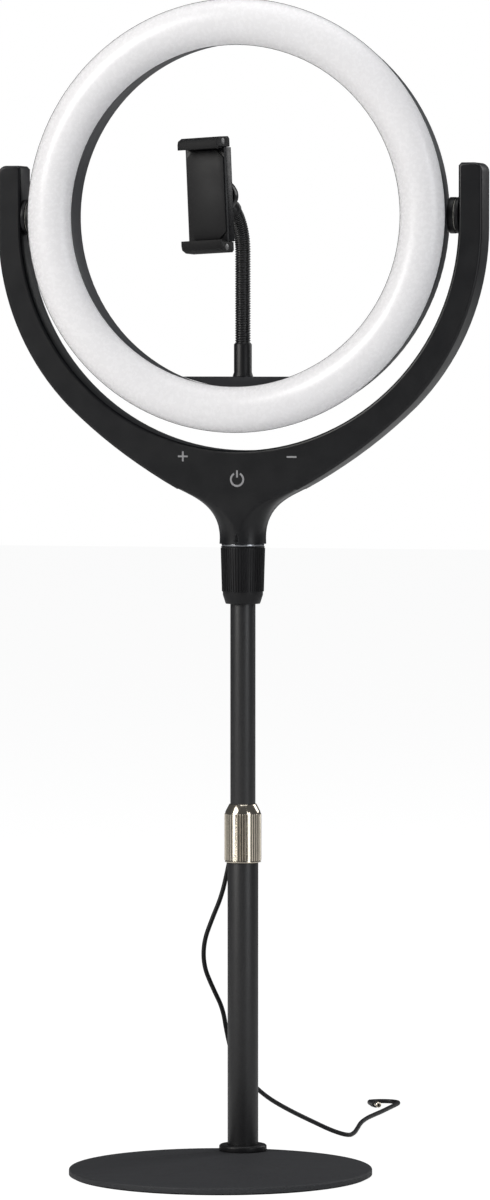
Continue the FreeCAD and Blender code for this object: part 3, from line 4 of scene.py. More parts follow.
import bmesh
import bpy
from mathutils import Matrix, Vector


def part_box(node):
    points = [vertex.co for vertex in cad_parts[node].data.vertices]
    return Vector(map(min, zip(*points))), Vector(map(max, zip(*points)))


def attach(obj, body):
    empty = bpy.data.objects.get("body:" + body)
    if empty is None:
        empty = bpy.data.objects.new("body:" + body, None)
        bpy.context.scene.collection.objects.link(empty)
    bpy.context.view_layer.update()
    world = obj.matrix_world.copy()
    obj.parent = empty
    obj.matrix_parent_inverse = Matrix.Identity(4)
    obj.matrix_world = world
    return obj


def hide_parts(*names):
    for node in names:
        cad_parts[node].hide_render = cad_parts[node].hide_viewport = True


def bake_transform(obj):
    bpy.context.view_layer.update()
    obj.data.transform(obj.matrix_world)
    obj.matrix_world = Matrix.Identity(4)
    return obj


bl_info = {
    "name": "Ring light",
    "version": (1, 0, 0),
    "blender": (4, 5, 0),
    "location": "3D View > Sidebar > Ring light",
    "description": "Finishes and fine shapes of a ring light on a telescopic table stand",
    "category": "Object",
}

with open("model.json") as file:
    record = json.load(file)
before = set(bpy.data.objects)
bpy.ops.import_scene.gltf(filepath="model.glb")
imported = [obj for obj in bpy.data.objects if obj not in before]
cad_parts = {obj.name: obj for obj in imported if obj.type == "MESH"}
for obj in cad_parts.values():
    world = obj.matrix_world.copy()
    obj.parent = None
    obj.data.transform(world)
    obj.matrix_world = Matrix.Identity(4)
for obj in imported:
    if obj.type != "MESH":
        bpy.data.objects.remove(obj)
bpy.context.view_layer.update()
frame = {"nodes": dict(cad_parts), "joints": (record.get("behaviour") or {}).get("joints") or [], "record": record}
MM = 0.001
FLOOR_REACH = 12.0  # half the floor's width, in metres
FLOOR_GLOW = 0.8  # share of the floor that the camera sees as plain white
NUT_WALL_DEPTH = 0.0022  # what lies this near a nut's outside belongs to its grip
STEM_RISE = 0.0385  # from the stem's foot to where the flat faces of the yoke begin
ARMS_RISE = 0.1  # from the stem's foot to where only the arms are left


def joint(name):
    return next(item for item in frame["joints"] if item["name"] == name)


def low(node):
    return Vector(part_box(node)[0])


def high(node):
    return Vector(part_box(node)[1])


# ---------------------------------------------------------------- sizes and colours
def length(name, description, default):
    """A length in metres, shown with its unit."""
    return bpy.props.FloatProperty(
        name=name, description=description, default=default, min=0.0, precision=5,
        subtype="DISTANCE", unit="LENGTH",
    )


def angle(name, description, degrees):
    return bpy.props.FloatProperty(
        name=name, description=description, default=math.radians(degrees), subtype="ANGLE", unit="ROTATION"
    )


def colour(name, description, default):
    return bpy.props.FloatVectorProperty(
        name=name, description=description, default=default, size=3, min=0.0, max=1.0, subtype="COLOR"
    )


class RINGLIGHT_PG_sizes(bpy.types.PropertyGroup):
    """Sizes of what is finer than the frame"""

    camera_distance: length("Camera distance", "From the pole to the camera", 4.328)
    camera_height: length("Camera height", "Height of the lens above the table", 0.573)
    camera_side: angle("Camera side", "How far the camera stands to the right of straight ahead", 15.6)
    camera_pitch: angle("Camera pitch", "How far the camera looks down", 2.437)
    camera_aside: angle("Camera aside", "How far the camera looks past the pole's axis", 0.0193)
    yoke_edge: length("Yoke edge", "Rounding of the yoke's front and back edges", 0.0019)
    rim_edge: length("Rim edge", "Rounding of small edges on moulded parts", 0.0005)
    knurl_pitch: length("Knurl pitch", "Between two ridges of the clamp nut", 0.0018)
    knurl_depth: length("Knurl depth", "Height of a ridge of the clamp nut", 0.0004)
    rib_pitch: length("Rib pitch", "Between two ribs of the collar nut", 0.0019)
    rib_depth: length("Rib depth", "Height of a rib of the collar nut", 0.0006)
    coil_pitch: length("Coil pitch", "Between two turns of the gooseneck's sleeve", 0.0017)
    coil_radius: length("Coil radius", "Outside of the gooseneck's sleeve", 0.0054)
    neck_straight: length("Straight neck", "Straight stretch of the gooseneck", 0.063)
    neck_bend: length("Neck bend", "Radius of its curved stretch", 0.036)
    neck_turn: angle("Neck turn", "Angle of its curved stretch", 52.0)
    neck_yaw: angle("Neck yaw", "How far the gooseneck leans to the left of straight ahead", 12.0)
    cord_radius: length("Cable radius", "Supply cable", 0.0016)


class RINGLIGHT_PG_colours(bpy.types.PropertyGroup):
    """Colours of the finishes"""

    coat: colour("Powder coat", "Steel base", (0.030, 0.031, 0.034))
    tube: colour("Tube", "Pole", (0.0115, 0.0115, 0.0125))
    nickel: colour("Nickel", "Clamp nut", (0.66, 0.60, 0.50))
    yoke: colour("Yoke", "Moulded yoke", (0.0065, 0.0068, 0.0080))
    ring: colour("Ring", "Back shell of the ring", (0.042, 0.043, 0.047))
    diffuser: colour("Diffuser", "Milky cover", (0.92, 0.912, 0.928))
    black: colour("Black", "Small moulded parts", (0.0042, 0.0042, 0.0050))
    jaw: colour("Jaw", "Jaws of the phone holder", (0.006, 0.006, 0.0065))
    icon: colour("Symbols", "Printed symbols", (0.30, 0.30, 0.31))
    cable: colour("Cable", "Supply cable", (0.006, 0.006, 0.007))


def sizes():
    return bpy.context.scene.ringlight_sizes


def colours():
    return bpy.context.scene.ringlight_colours


# ---------------------------------------------------------------- finishes
class Wire:
    """A shader socket that takes part in sums."""

    def __init__(self, finish, socket):
        self.finish = finish
        self.socket = socket

    def maths(self, operation, first, second=None):
        values = {0: first} if second is None else {0: first, 1: second}
        return self.finish.add("ShaderNodeMath", {"operation": operation}, values)

    def __add__(self, other):
        return self.maths("ADD", self, other)

    def __radd__(self, other):
        return self.maths("ADD", other, self)

    def __sub__(self, other):
        return self.maths("SUBTRACT", self, other)

    def __rsub__(self, other):
        return self.maths("SUBTRACT", other, self)

    def __mul__(self, other):
        return self.maths("MULTIPLY", self, other)

    def __rmul__(self, other):
        return self.maths("MULTIPLY", other, self)

    def __truediv__(self, other):
        return self.maths("DIVIDE", self, other)


class Finish:
    """A material with a Principled shader, made from a few calls."""

    def __init__(self, name):
        self.material = bpy.data.materials.new(name)
        self.material.use_nodes = True
        self.tree = self.material.node_tree
        self.shader = self.tree.nodes["Principled BSDF"]

    def add(self, kind, settings=None, values=None, output=0):
        """Adds a node: its settings first, then the values or links of its sockets."""
        node = self.tree.nodes.new(kind)
        for name, value in (settings or {}).items():
            setattr(node, name, value)
        for name, value in (values or {}).items():
            self.feed(node.inputs[name], value)
        return Wire(self, node.outputs[output])

    def feed(self, socket, value):
        if isinstance(value, Wire):
            self.tree.links.new(value.socket, socket)
        else:
            socket.default_value = value

    def set(self, **values):
        """Sets sockets of the shader by name, with underscores for spaces."""
        for name, value in values.items():
            socket = self.shader.inputs[name.replace("_", " ")]
            if isinstance(value, tuple) and len(value) == 3 and socket.type == "RGBA":
                value = (*value, 1.0)
            self.feed(socket, value)
        return self

    def place(self):
        return self.add("ShaderNodeTexCoord", output=3)

    def noise(self, scale, detail=3.0, roughness=0.5, stretch=None):
        """Noise on the object's own coordinates; scale counts features in a metre."""
        where = self.place()
        if stretch:
            where = self.add("ShaderNodeMapping", {}, {"Vector": where, "Scale": stretch})
        values = {"Vector": where, "Scale": scale, "Detail": detail, "Roughness": roughness}
        return self.add("ShaderNodeTexNoise", {}, values)

    def between(self, factor, first, second):
        """A colour between two colours."""
        node = self.tree.nodes.new("ShaderNodeMix")
        node.data_type = "RGBA"
        self.feed(node.inputs[0], factor)
        self.feed(node.inputs[6], (*first, 1.0))
        self.feed(node.inputs[7], (*second, 1.0))
        return Wire(self, node.outputs[2])

    def span(self, wire, start, end, low_value, high_value):
        """Maps a wire's range to another range, clamped."""
        values = {0: wire, 1: start, 2: end, 3: low_value, 4: high_value}
        return self.add("ShaderNodeMapRange", {"clamp": True}, values)

    def bump(self, height, depth, strength=1.0):
        """A relief of the given depth in metres."""
        normal = self.add("ShaderNodeBump", {}, {"Strength": strength, "Distance": depth, "Height": height})
        self.feed(self.shader.inputs["Normal"], normal)
        return self


def scaled(base, factor):
    return tuple(min(1.0, channel * factor) for channel in base)


def moulded(name, base, roughness, grain=2600.0, depth=0.00003, contrast=0.12, coat=0.0):
    """Moulded plastic: a fine grain, and a slow drift of tone and gloss."""
    finish = Finish(name)
    drift = finish.noise(14.0, 2.0)
    tone = finish.between(drift, scaled(base, 1.0 - contrast), scaled(base, 1.0 + contrast))
    gloss = finish.span(finish.noise(60.0, 4.0), 0.3, 0.7, roughness - 0.04, roughness + 0.05)
    finish.set(Base_Color=tone, Roughness=gloss, Specular_IOR_Level=0.3, Coat_Weight=coat, Coat_Roughness=0.3)
    return finish.bump(finish.noise(grain, 2.0), depth, 0.6).material


def painted(name, base, roughness, grain, depth, gleam=0.35):
    """Powder coat or satin paint on metal: an orange-peel relief."""
    finish = Finish(name)
    fine = finish.noise(grain, 2.0, 0.6)
    tone = finish.between(finish.span(fine, 0.35, 0.65, 0.0, 1.0), scaled(base, 0.8), scaled(base, 1.25))
    gloss = finish.span(finish.noise(30.0, 3.0), 0.3, 0.7, roughness - 0.05, roughness + 0.06)
    finish.set(Base_Color=tone, Roughness=gloss, Specular_IOR_Level=gleam)
    return finish.bump(fine, depth, 0.8).material


def bright(name, base, roughness, stretch=None):
    """Plated or polished metal with faint wiping marks."""
    finish = Finish(name)
    marks = finish.noise(220.0, 5.0, 0.6, stretch)
    gloss = finish.span(marks, 0.3, 0.7, roughness * 0.7, roughness * 1.5)
    tone = finish.between(finish.noise(35.0, 2.0), scaled(base, 0.93), scaled(base, 1.05))
    finish.set(Base_Color=tone, Metallic=1.0, Roughness=gloss)
    return finish.bump(marks, 0.000008, 0.4).material


def rubbery(name, base, roughness, grain, depth):
    """Textured rubber: small pebbles."""
    finish = Finish(name)
    pebbles = finish.add(
        "ShaderNodeTexVoronoi", {"feature": "F1"}, {"Vector": finish.place(), "Scale": grain}
    )
    tone = finish.between(pebbles, scaled(base, 1.3), scaled(base, 0.75))
    finish.set(Base_Color=tone, Roughness=roughness, Specular_IOR_Level=0.25)
    return finish.bump(1.0 - pebbles, depth, 0.8).material


def milky(name, base):
    """Opal diffuser: soft body colour with light going a little way in."""
    finish = Finish(name)
    drift = finish.noise(9.0, 2.0)
    tone = finish.between(drift, scaled(base, 0.985), scaled(base, 1.015))
    gloss = finish.span(finish.noise(400.0, 2.0), 0.3, 0.7, 0.24, 0.3)
    finish.set(Base_Color=tone, Roughness=gloss, Subsurface_Weight=0.15, Subsurface_Scale=0.004,
               Subsurface_Radius=(1.0, 1.0, 1.0))
    return finish.bump(finish.noise(1800.0, 2.0), 0.00001, 0.4).material


def dark_with_painted_highlight(name, base, highlight_colour, ahead):
    """Dark plating worn bright where the sheet's edge looks ahead."""
    finish = Finish(name)
    normal = finish.add("ShaderNodeTexCoord", output=1)
    facing = finish.add("ShaderNodeVectorMath", {"operation": "DOT_PRODUCT"}, {0: normal, 1: ahead}, 1)
    # painted highlight: the share of the bright colour grows where the face looks ahead
    share = finish.span(facing, 0.9, 0.97, 0.0, 1.0)
    marks = finish.noise(300.0, 4.0, 0.6)
    finish.set(Base_Color=finish.between(share, base, highlight_colour), Metallic=share, Specular_IOR_Level=0.15,
               Roughness=finish.span(marks, 0.3, 0.7, 0.22, 0.36))
    return finish.bump(marks, 0.000008, 0.4).material


def circuit(name, base):
    """Solder mask with faint tracks."""
    finish = Finish(name)
    tracks = finish.add(
        "ShaderNodeTexBrick", {"offset": 0.4},
        {"Vector": finish.place(), "Scale": 160.0, "Mortar Size": 0.03}, output=1,
    )
    tone = finish.between(tracks, base, scaled(base, 1.8))
    finish.set(Base_Color=tone, Roughness=0.35)
    return finish.bump(tracks, 0.00004, 0.5).material


def make_finishes():
    """All finishes, by the record's slot names."""
    tint = colours()
    dark = tuple(tint.black)
    table = {
        "powder_coat": painted("powder_coat", tuple(tint.coat), 0.62, 1500.0, 0.00006),
        "satin_metal": painted("satin_metal", scaled(dark, 1.2), 0.42, 1200.0, 0.00002),
        "tube_black": painted("tube_black", tuple(tint.tube), 0.42, 900.0, 0.00002, 0.6),
        "foam": rubbery("foam", scaled(dark, 1.2), 0.95, 1400.0, 0.0001),
        "steel": bright("steel", (0.20, 0.20, 0.20), 0.36),
        "nylon": moulded("nylon", (0.66, 0.65, 0.60), 0.5),
        "nickel": bright("nickel", tuple(tint.nickel), 0.13, (1.0, 1.0, 4.0)),
        "cable_rubber": moulded("cable_rubber", tuple(tint.cable), 0.42, 3000.0, 0.00002),
        "spring_steel": bright("spring_steel", (0.55, 0.55, 0.54), 0.25),
        "washer_silver": bright("washer_silver", (0.34, 0.35, 0.37), 0.22, (1.0, 1.0, 6.0)),
        "collar_plastic": moulded("collar_plastic", scaled(dark, 1.5), 0.42),
        "yoke_plastic": moulded("yoke_plastic", tuple(tint.yoke), 0.34, 2800.0, 0.00002, 0.1, 0.12),
        "screw_black": bright("screw_black", (0.05, 0.05, 0.052), 0.35),
        "circuit_board": circuit("circuit_board", (0.015, 0.13, 0.05)),
        "icon_grey": moulded("icon_grey", tuple(tint.icon), 0.55, 2600.0, 0.00003, 0.05),
        "pivot_black": moulded("pivot_black", dark, 0.4),
        "ring_plastic": moulded("ring_plastic", tuple(tint.ring), 0.4, 2600.0, 0.00003, 0.1),
        "diffuser_white": milky("diffuser_white", tuple(tint.diffuser)),
        "led_white_board": circuit("led_white_board", (0.42, 0.42, 0.41)),
        "led_lamp": moulded("led_lamp", (0.85, 0.75, 0.35), 0.25),
        "gooseneck_metal": painted("gooseneck_metal", dark, 0.3, 1600.0, 0.00001, 0.55),
        "socket_plastic": moulded("socket_plastic", dark, 0.34),
        # the channel is dark, with a painted highlight along the edge that looks ahead
        "channel_metal": dark_with_painted_highlight(
            "channel_metal", scaled(dark, 1.4), (0.78, 0.79, 0.81), joint("holder_spin")["axis"]
        ),
        "holder_plastic": moulded("holder_plastic", scaled(dark, 1.3), 0.36),
        "holder_rubber": moulded("holder_rubber", scaled(dark, 0.9), 0.5, 1500.0, 0.00004),
        "jaw_plastic": rubbery("jaw_plastic", tuple(tint.jaw), 0.6, 1500.0, 0.00012),
        "jaw_rubber": rubbery("jaw_rubber", scaled(tuple(tint.jaw), 0.8), 0.8, 1900.0, 0.0001),
    }
    return table


finishes = {}


def dress(piece, slot):
    """Gives a piece one finish and names the record's slot for it."""
    piece.data.materials.clear()
    piece.data.materials.append(finishes[slot])


# ---------------------------------------------------------------- shapes
def body_of(node):
    return next(name for name, nodes in frame["record"]["behaviour"]["bodies"].items() if node in nodes)


def slot_of(node):
    return next(item["material_slot"] for item in frame["record"]["subparts"] if item["node"] == node)


def new_piece(name, mesh, body, slot):
    piece = bpy.data.objects.new(name, mesh)
    bpy.context.scene.collection.objects.link(piece)
    dress(piece, slot)
    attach(piece, body)
    return piece


def plain(piece):
    """The piece's mesh with its modifiers worked in, and no modifier left on it."""
    view = bpy.context.evaluated_depsgraph_get()
    mesh = bpy.data.meshes.new_from_object(piece.evaluated_get(view))
    piece.modifiers.clear()
    piece.data = mesh
    return mesh


def merged(node):
    """A merged copy of a frame node's mesh, with flat areas in one face."""
    work = bmesh.new()
    work.from_mesh(frame["nodes"][node].data)
    bmesh.ops.remove_doubles(work, verts=work.verts, dist=1e-6)
    bmesh.ops.dissolve_limit(
        work, angle_limit=math.radians(0.2), verts=work.verts, edges=work.edges, delimit={"NORMAL"}
    )
    return work


def smooth(mesh, degrees=32.0):
    mesh.shade_smooth()
    mesh.set_sharp_from_angle(angle=math.radians(degrees))


def refine(node, edge, chosen=None, segments=3, sharp=35.0):
    """Replaces a frame node by a copy of it with rounded edges."""
    work = merged(node)
    weight = work.edges.layers.float.new("bevel_weight_edge")
    for line in work.edges:
        keen = len(line.link_faces) == 2 and line.calc_face_angle(0.0) > math.radians(sharp)
        if keen and (chosen is None or all(chosen(corner.co) for corner in line.verts)):
            line[weight] = 1.0
    mesh = bpy.data.meshes.new(node + "_fine")
    work.to_mesh(mesh)
    work.free()
    piece = new_piece(node + "_fine", mesh, body_of(node), slot_of(node))
    bevel = piece.modifiers.new("edge", "BEVEL")
    bevel.limit_method = "WEIGHT"
    bevel.width = edge
    bevel.segments = segments
    bevel.harden_normals = False
    bevel.use_clamp_overlap = True
    mesh = plain(piece)
    smooth(mesh)
    dress(piece, slot_of(node))
    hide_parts(node)
    return piece


def finish_nodes(*nodes):
    """Keeps frame nodes as they are and gives them their finish."""
    for node in nodes:
        item = frame["nodes"][node]
        for slot in item.material_slots:
            slot.material = finishes[slot_of(node)]


def operator(label, text, work):
    """An operator class that runs one function of this file."""
    key = label.lower().replace(" ", "_").replace("-", "_")

    def execute(self, context):
        work()
        return {"FINISHED"}

    body = {"bl_idname": "ringlight." + key, "bl_label": label, "bl_options": {"REGISTER"}}
    body["__doc__"] = text
    body["execute"] = execute
    return type("RINGLIGHT_OT_" + key, (bpy.types.Operator,), body)


# ---------------------------------------------------------------- stage
def make_stage():
    size = sizes()
    scene = bpy.context.scene
    scene.view_settings.view_transform = "Standard"
    camera_data = bpy.data.cameras.new("camera")
    camera_data.lens = 187.2
    camera_data.sensor_fit = "VERTICAL"
    camera_data.sensor_height = 36.0
    camera_data.sensor_width = 36.0
    camera_data.clip_end = 50.0
    camera = bpy.data.objects.new("camera", camera_data)
    scene.collection.objects.link(camera)
    side = size.camera_side
    place = Vector((math.sin(side), -math.cos(side), 0.0)) * size.camera_distance
    place.z = size.camera_height
    camera.location = place
    camera.rotation_euler = (math.pi / 2 - size.camera_pitch, 0.0, side - size.camera_aside)
    scene.camera = camera

    mesh = bpy.data.meshes.new("floor")
    reach = FLOOR_REACH
    corners = [(-reach, -reach, 0), (reach, -reach, 0), (reach, reach, 0), (-reach, reach, 0)]
    mesh.from_pydata([Vector(corner) for corner in corners], [], [(0, 1, 2, 3)])
    floor = bpy.data.objects.new("floor", mesh)
    scene.collection.objects.link(floor)
    finish = Finish("floor")
    finish.set(Base_Color=(0.86, 0.86, 0.86), Roughness=0.9)
    light = finish.add("ShaderNodeEmission", {}, {"Color": (1, 1, 1, 1), "Strength": 1.18})
    seen = finish.add("ShaderNodeLightPath")
    share = seen * FLOOR_GLOW
    lit = Wire(finish, finish.shader.outputs[0])
    mix = finish.add("ShaderNodeMixShader", {}, {0: share, 1: lit, 2: light})
    out = next(node for node in finish.tree.nodes if node.type == "OUTPUT_MATERIAL")
    finish.tree.links.new(mix.socket, out.inputs["Surface"])
    mesh.materials.append(finish.material)

    world = bpy.data.worlds.new("world")
    scene.world = world
    world.use_nodes = True
    tree = world.node_tree
    ground = tree.nodes["Background"]
    ground.inputs["Color"].default_value = (0.93, 0.95, 1.0, 1.0)
    ground.inputs["Strength"].default_value = 0.10
    white = tree.nodes.new("ShaderNodeBackground")
    white.inputs["Color"].default_value = (1.0, 1.0, 1.0, 1.0)
    white.inputs["Strength"].default_value = 1.0
    path = tree.nodes.new("ShaderNodeLightPath")
    mix = tree.nodes.new("ShaderNodeMixShader")
    either = tree.nodes.new("ShaderNodeMath")
    either.operation = "MAXIMUM"
    tree.links.new(path.outputs["Is Camera Ray"], either.inputs[0])
    tree.links.new(path.outputs["Is Transmission Ray"], either.inputs[1])
    tree.links.new(either.outputs[0], mix.inputs[0])
    tree.links.new(ground.outputs[0], mix.inputs[1])
    tree.links.new(white.outputs[0], mix.inputs[2])
    tree.links.new(mix.outputs[0], tree.nodes["World Output"].inputs["Surface"])

    lamps = (
        ("key", (-2.2, -2.6, 2.0), (1.6, 2.2), 84.0, (1.0, 0.985, 0.96)),
        ("fill", (2.9, -2.0, 1.1), (1.2, 2.2), 26.0, (0.96, 0.98, 1.0)),
        ("top", (0.2, -0.4, 3.2), (2.2, 2.2), 34.0, (1.0, 1.0, 1.0)),
        ("back", (1.8, 2.2, 1.8), (1.2, 2.0), 22.0, (1.0, 1.0, 1.0)),
    )
    for name, spot, extent, power, tint in lamps:
        data = bpy.data.lights.new(name, "AREA")
        data.shape = "RECTANGLE"
        data.size, data.size_y = extent
        data.energy = power
        data.color = tint
        lamp = bpy.data.objects.new(name, data)
        lamp.location = spot
        lamp.rotation_euler = (Vector((0, 0, 0.42)) - Vector(spot)).to_track_quat("-Z", "Y").to_euler()
        scene.collection.objects.link(lamp)


# ---------------------------------------------------------------- cable
CABLE_ROUTE = (
    (0.0, 14.0, 378.0), (0.0, 27.0, 378.0), (-0.5, 35.0, 371.5), (-1.0, 39.2, 361.0),
    (-1.5, 40.6, 345.0), (-2.0, 40.0, 320.0), (-2.5, 38.0, 282.0), (-3.5, 34.0, 246.0),
    (-7.0, 30.0, 217.0), (-11.0, 28.0, 197.0), (-15.0, 27.5, 180.0), (-21.5, 27.0, 164.5),
    (-27.5, 27.0, 148.0), (-27.5, 27.2, 131.0), (-21.0, 27.6, 115.5), (-14.0, 28.6, 101.0),
    (-11.5, 31.0, 84.5), (-7.5, 36.5, 67.0), (2.0, 45.0, 50.5), (16.0, 58.0, 35.5),
    (33.0, 75.5, 23.5), (52.0, 92.5, 12.3), (64.0, 99.5, 5.8), (75.5, 104.5, 1.7),
    (80.0, 122.0, 1.6), (82.8, 150.0, 1.7), (85.5, 180.0, 1.6), (90.5, 206.0, 1.7),
    (96.6, 227.0, 1.6), (102.8, 246.0, 1.7), (108.5, 268.0, 1.6), (113.0, 283.0, 1.7),
    (116.5, 296.5, 1.7), (112.7, 303.6, 1.7), (105.2, 306.5, 1.7), (97.7, 303.8, 1.9),
    (93.8, 296.8, 2.3), (95.4, 289.0, 2.7),
)


def seen_from_front_right(right, behind, up):
    side = math.radians(15.6)
    x = right * math.cos(side) - behind * math.sin(side)
    y = right * math.sin(side) + behind * math.cos(side)
    return Vector((x, y, up)) * MM


def make_cable():
    points = [seen_from_front_right(*place) for place in CABLE_ROUTE]
    curve = bpy.data.curves.new("supply_cable", "CURVE")
    curve.dimensions = "3D"
    curve.resolution_u = 6
    spline = curve.splines.new("NURBS")
    spline.points.add(len(points) - 1)
    for point, place in zip(spline.points, points):
        point.co = (*place, 1.0)
    spline.order_u = 3
    spline.use_endpoint_u = True
    cable = bpy.data.objects.new("supply_cable_line", curve)
    bpy.context.scene.collection.objects.link(cable)
    view = bpy.context.evaluated_depsgraph_get()
    line = bpy.data.meshes.new_from_object(cable.evaluated_get(view))
    curve.bevel_depth = sizes().cord_radius
    curve.bevel_resolution = 4
    curve.use_fill_caps = True
    view = bpy.context.evaluated_depsgraph_get()
    mesh = bpy.data.meshes.new_from_object(cable.evaluated_get(view))
    bpy.data.objects.remove(cable)
    work = bmesh.new()
    work.from_mesh(mesh)
    bmesh.ops.remove_doubles(work, verts=work.verts, dist=1e-6)
    work.to_mesh(mesh)
    work.free()
    smooth(mesh)
    cable = bpy.data.objects.new("supply_cable", mesh)
    bpy.context.scene.collection.objects.link(cable)
    dress(cable, "cable_rubber")
    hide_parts("power_cable")
    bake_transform(cable)
    finish_nodes("plug_grip", "plug_barrel", "feed_lead", "arm_lead")


# ---------------------------------------------------------------- pieces
def make_base():
    edge = sizes().rim_edge
    refine("base_plate", 0.0006)
    refine("foot_flange", edge)
    finish_nodes("base_pad", "base_screw", "foot_insert")


def make_pole():
    for node in ("lower_tube", "upper_tube"):
        refine(node, 0.0003)
    refine("cable_grommet", 0.0003)
    finish_nodes("lock_collar", "collet", "guide_bush", "swivel_clips")


def ridges(name, around, profile, pitch, depth, slot, body):
    """Fine ridges round a nut, set by Geometry Nodes on a circle."""
    top, foot, radius_top, radius_foot = profile
    number = max(8, round(2 * math.pi * radius_top / pitch))
    tree = bpy.data.node_groups.new(name, "GeometryNodeTree")
    tree.is_modifier = True
    face = tree.interface
    face.new_socket("Geometry", in_out="INPUT", socket_type="NodeSocketGeometry")
    face.new_socket("Geometry", in_out="OUTPUT", socket_type="NodeSocketGeometry")
    inputs = {}
    for label, kind, value in (
        ("Number", "NodeSocketInt", number),
        ("Radius", "NodeSocketFloat", radius_foot),
        ("Size", "NodeSocketFloat", 1.0),
    ):
        item = face.new_socket(label, in_out="INPUT", socket_type=kind)
        item.default_value = value
        inputs[label] = (item.identifier, value)
    make = tree.nodes.new
    link = tree.links.new
    entry = make("NodeGroupInput")
    out = make("NodeGroupOutput")
    circle = make("GeometryNodeMeshCircle")
    circle.fill_type = "NONE"
    spot = make("GeometryNodeInstanceOnPoints")
    normal = make("GeometryNodeInputPosition")
    align = make("FunctionNodeAlignRotationToVector")
    align.axis = "X"
    align.pivot_axis = "Z"
    real = make("GeometryNodeRealizeInstances")
    shift = make("GeometryNodeTransform")
    shift.inputs["Translation"].default_value = (around[0], around[1], 0.0)
    paint = make("GeometryNodeSetMaterial")
    paint.inputs["Material"].default_value = finishes[slot]
    link(entry.outputs["Number"], circle.inputs["Vertices"])
    link(entry.outputs["Radius"], circle.inputs["Radius"])
    link(circle.outputs[0], spot.inputs["Points"])
    link(entry.outputs["Geometry"], spot.inputs["Instance"])
    link(normal.outputs[0], align.inputs["Vector"])
    link(align.outputs[0], spot.inputs["Rotation"])
    link(entry.outputs["Size"], spot.inputs["Scale"])
    link(spot.outputs[0], real.inputs[0])
    link(real.outputs[0], shift.inputs[0])
    link(shift.outputs[0], paint.inputs["Geometry"])
    link(paint.outputs[0], out.inputs[0])

    half = pitch * 0.34
    narrow = half * 0.35
    root = -depth * 0.4
    lean = radius_top - radius_foot
    work = bmesh.new()
    rows = []
    for height, reach in ((foot, 0.0), (foot + 0.0004, 1.0), (top - 0.0004, 1.0), (top, 0.0)):
        share = (height - foot) / (top - foot)
        base = lean * share
        row = []
        crest = depth * reach
        for across, rise in ((-half, root), (-narrow, crest), (narrow, crest), (half, root)):
            row.append(work.verts.new((base + rise, across, height)))
        rows.append(row)
    for first, second in zip(rows, rows[1:]):
        for index in range(3):
            work.faces.new((first[index], first[index + 1], second[index + 1], second[index]))
        work.faces.new((first[3], first[0], second[0], second[3]))
    work.faces.new(tuple(reversed(rows[0])))
    work.faces.new(tuple(rows[-1]))
    bmesh.ops.recalc_face_normals(work, faces=work.faces)
    mesh = bpy.data.meshes.new(name)
    work.to_mesh(mesh)
    work.free()
    piece = new_piece(name, mesh, body, slot)
    modifier = piece.modifiers.new("ridges", "NODES")
    modifier.node_group = tree
    for identifier, value in inputs.values():
        modifier[identifier] = value
    mesh = plain(piece)
    dress(piece, slot)
    return piece


def grip(node, bottom, top, pitch, depth):
    """Presses a nut's outside inwards between two heights and sets ridges on it up to its old size."""
    piece = refine(node, 0.0004)
    corners = piece.data.vertices
    outside = max(math.hypot(corner.co.x, corner.co.y) for corner in corners)
    radii = []
    for corner in corners:
        away = math.hypot(corner.co.x, corner.co.y)
        if bottom - 0.0002 < corner.co.z < top + 0.0002 and away > outside - NUT_WALL_DEPTH:
            radii.append((corner.co.z, away - depth))
            corner.co.x *= 1.0 - depth / away
            corner.co.y *= 1.0 - depth / away
    radius_foot = min(radii)[1]
    radius_top = max(radii)[1]
    profile = (top, bottom, radius_top, radius_foot)
    ridges(node + "_ridges", (0, 0), profile, pitch, depth, slot_of(node), body_of(node))


def make_clamp_nut():
    size = sizes()
    bottom = low("clamp_nut").z
    grip("clamp_nut", bottom + 0.0012, bottom + 0.0340, size.knurl_pitch, size.knurl_depth)


def make_collar_nut():
    size = sizes()
    bottom = low("collar_nut").z
    grip("collar_nut", bottom + 0.0083, high("collar_nut").z - 0.001, size.rib_pitch, size.rib_depth)
    refine("collar_washer", 0.0003)
    finish_nodes("stem_collet")


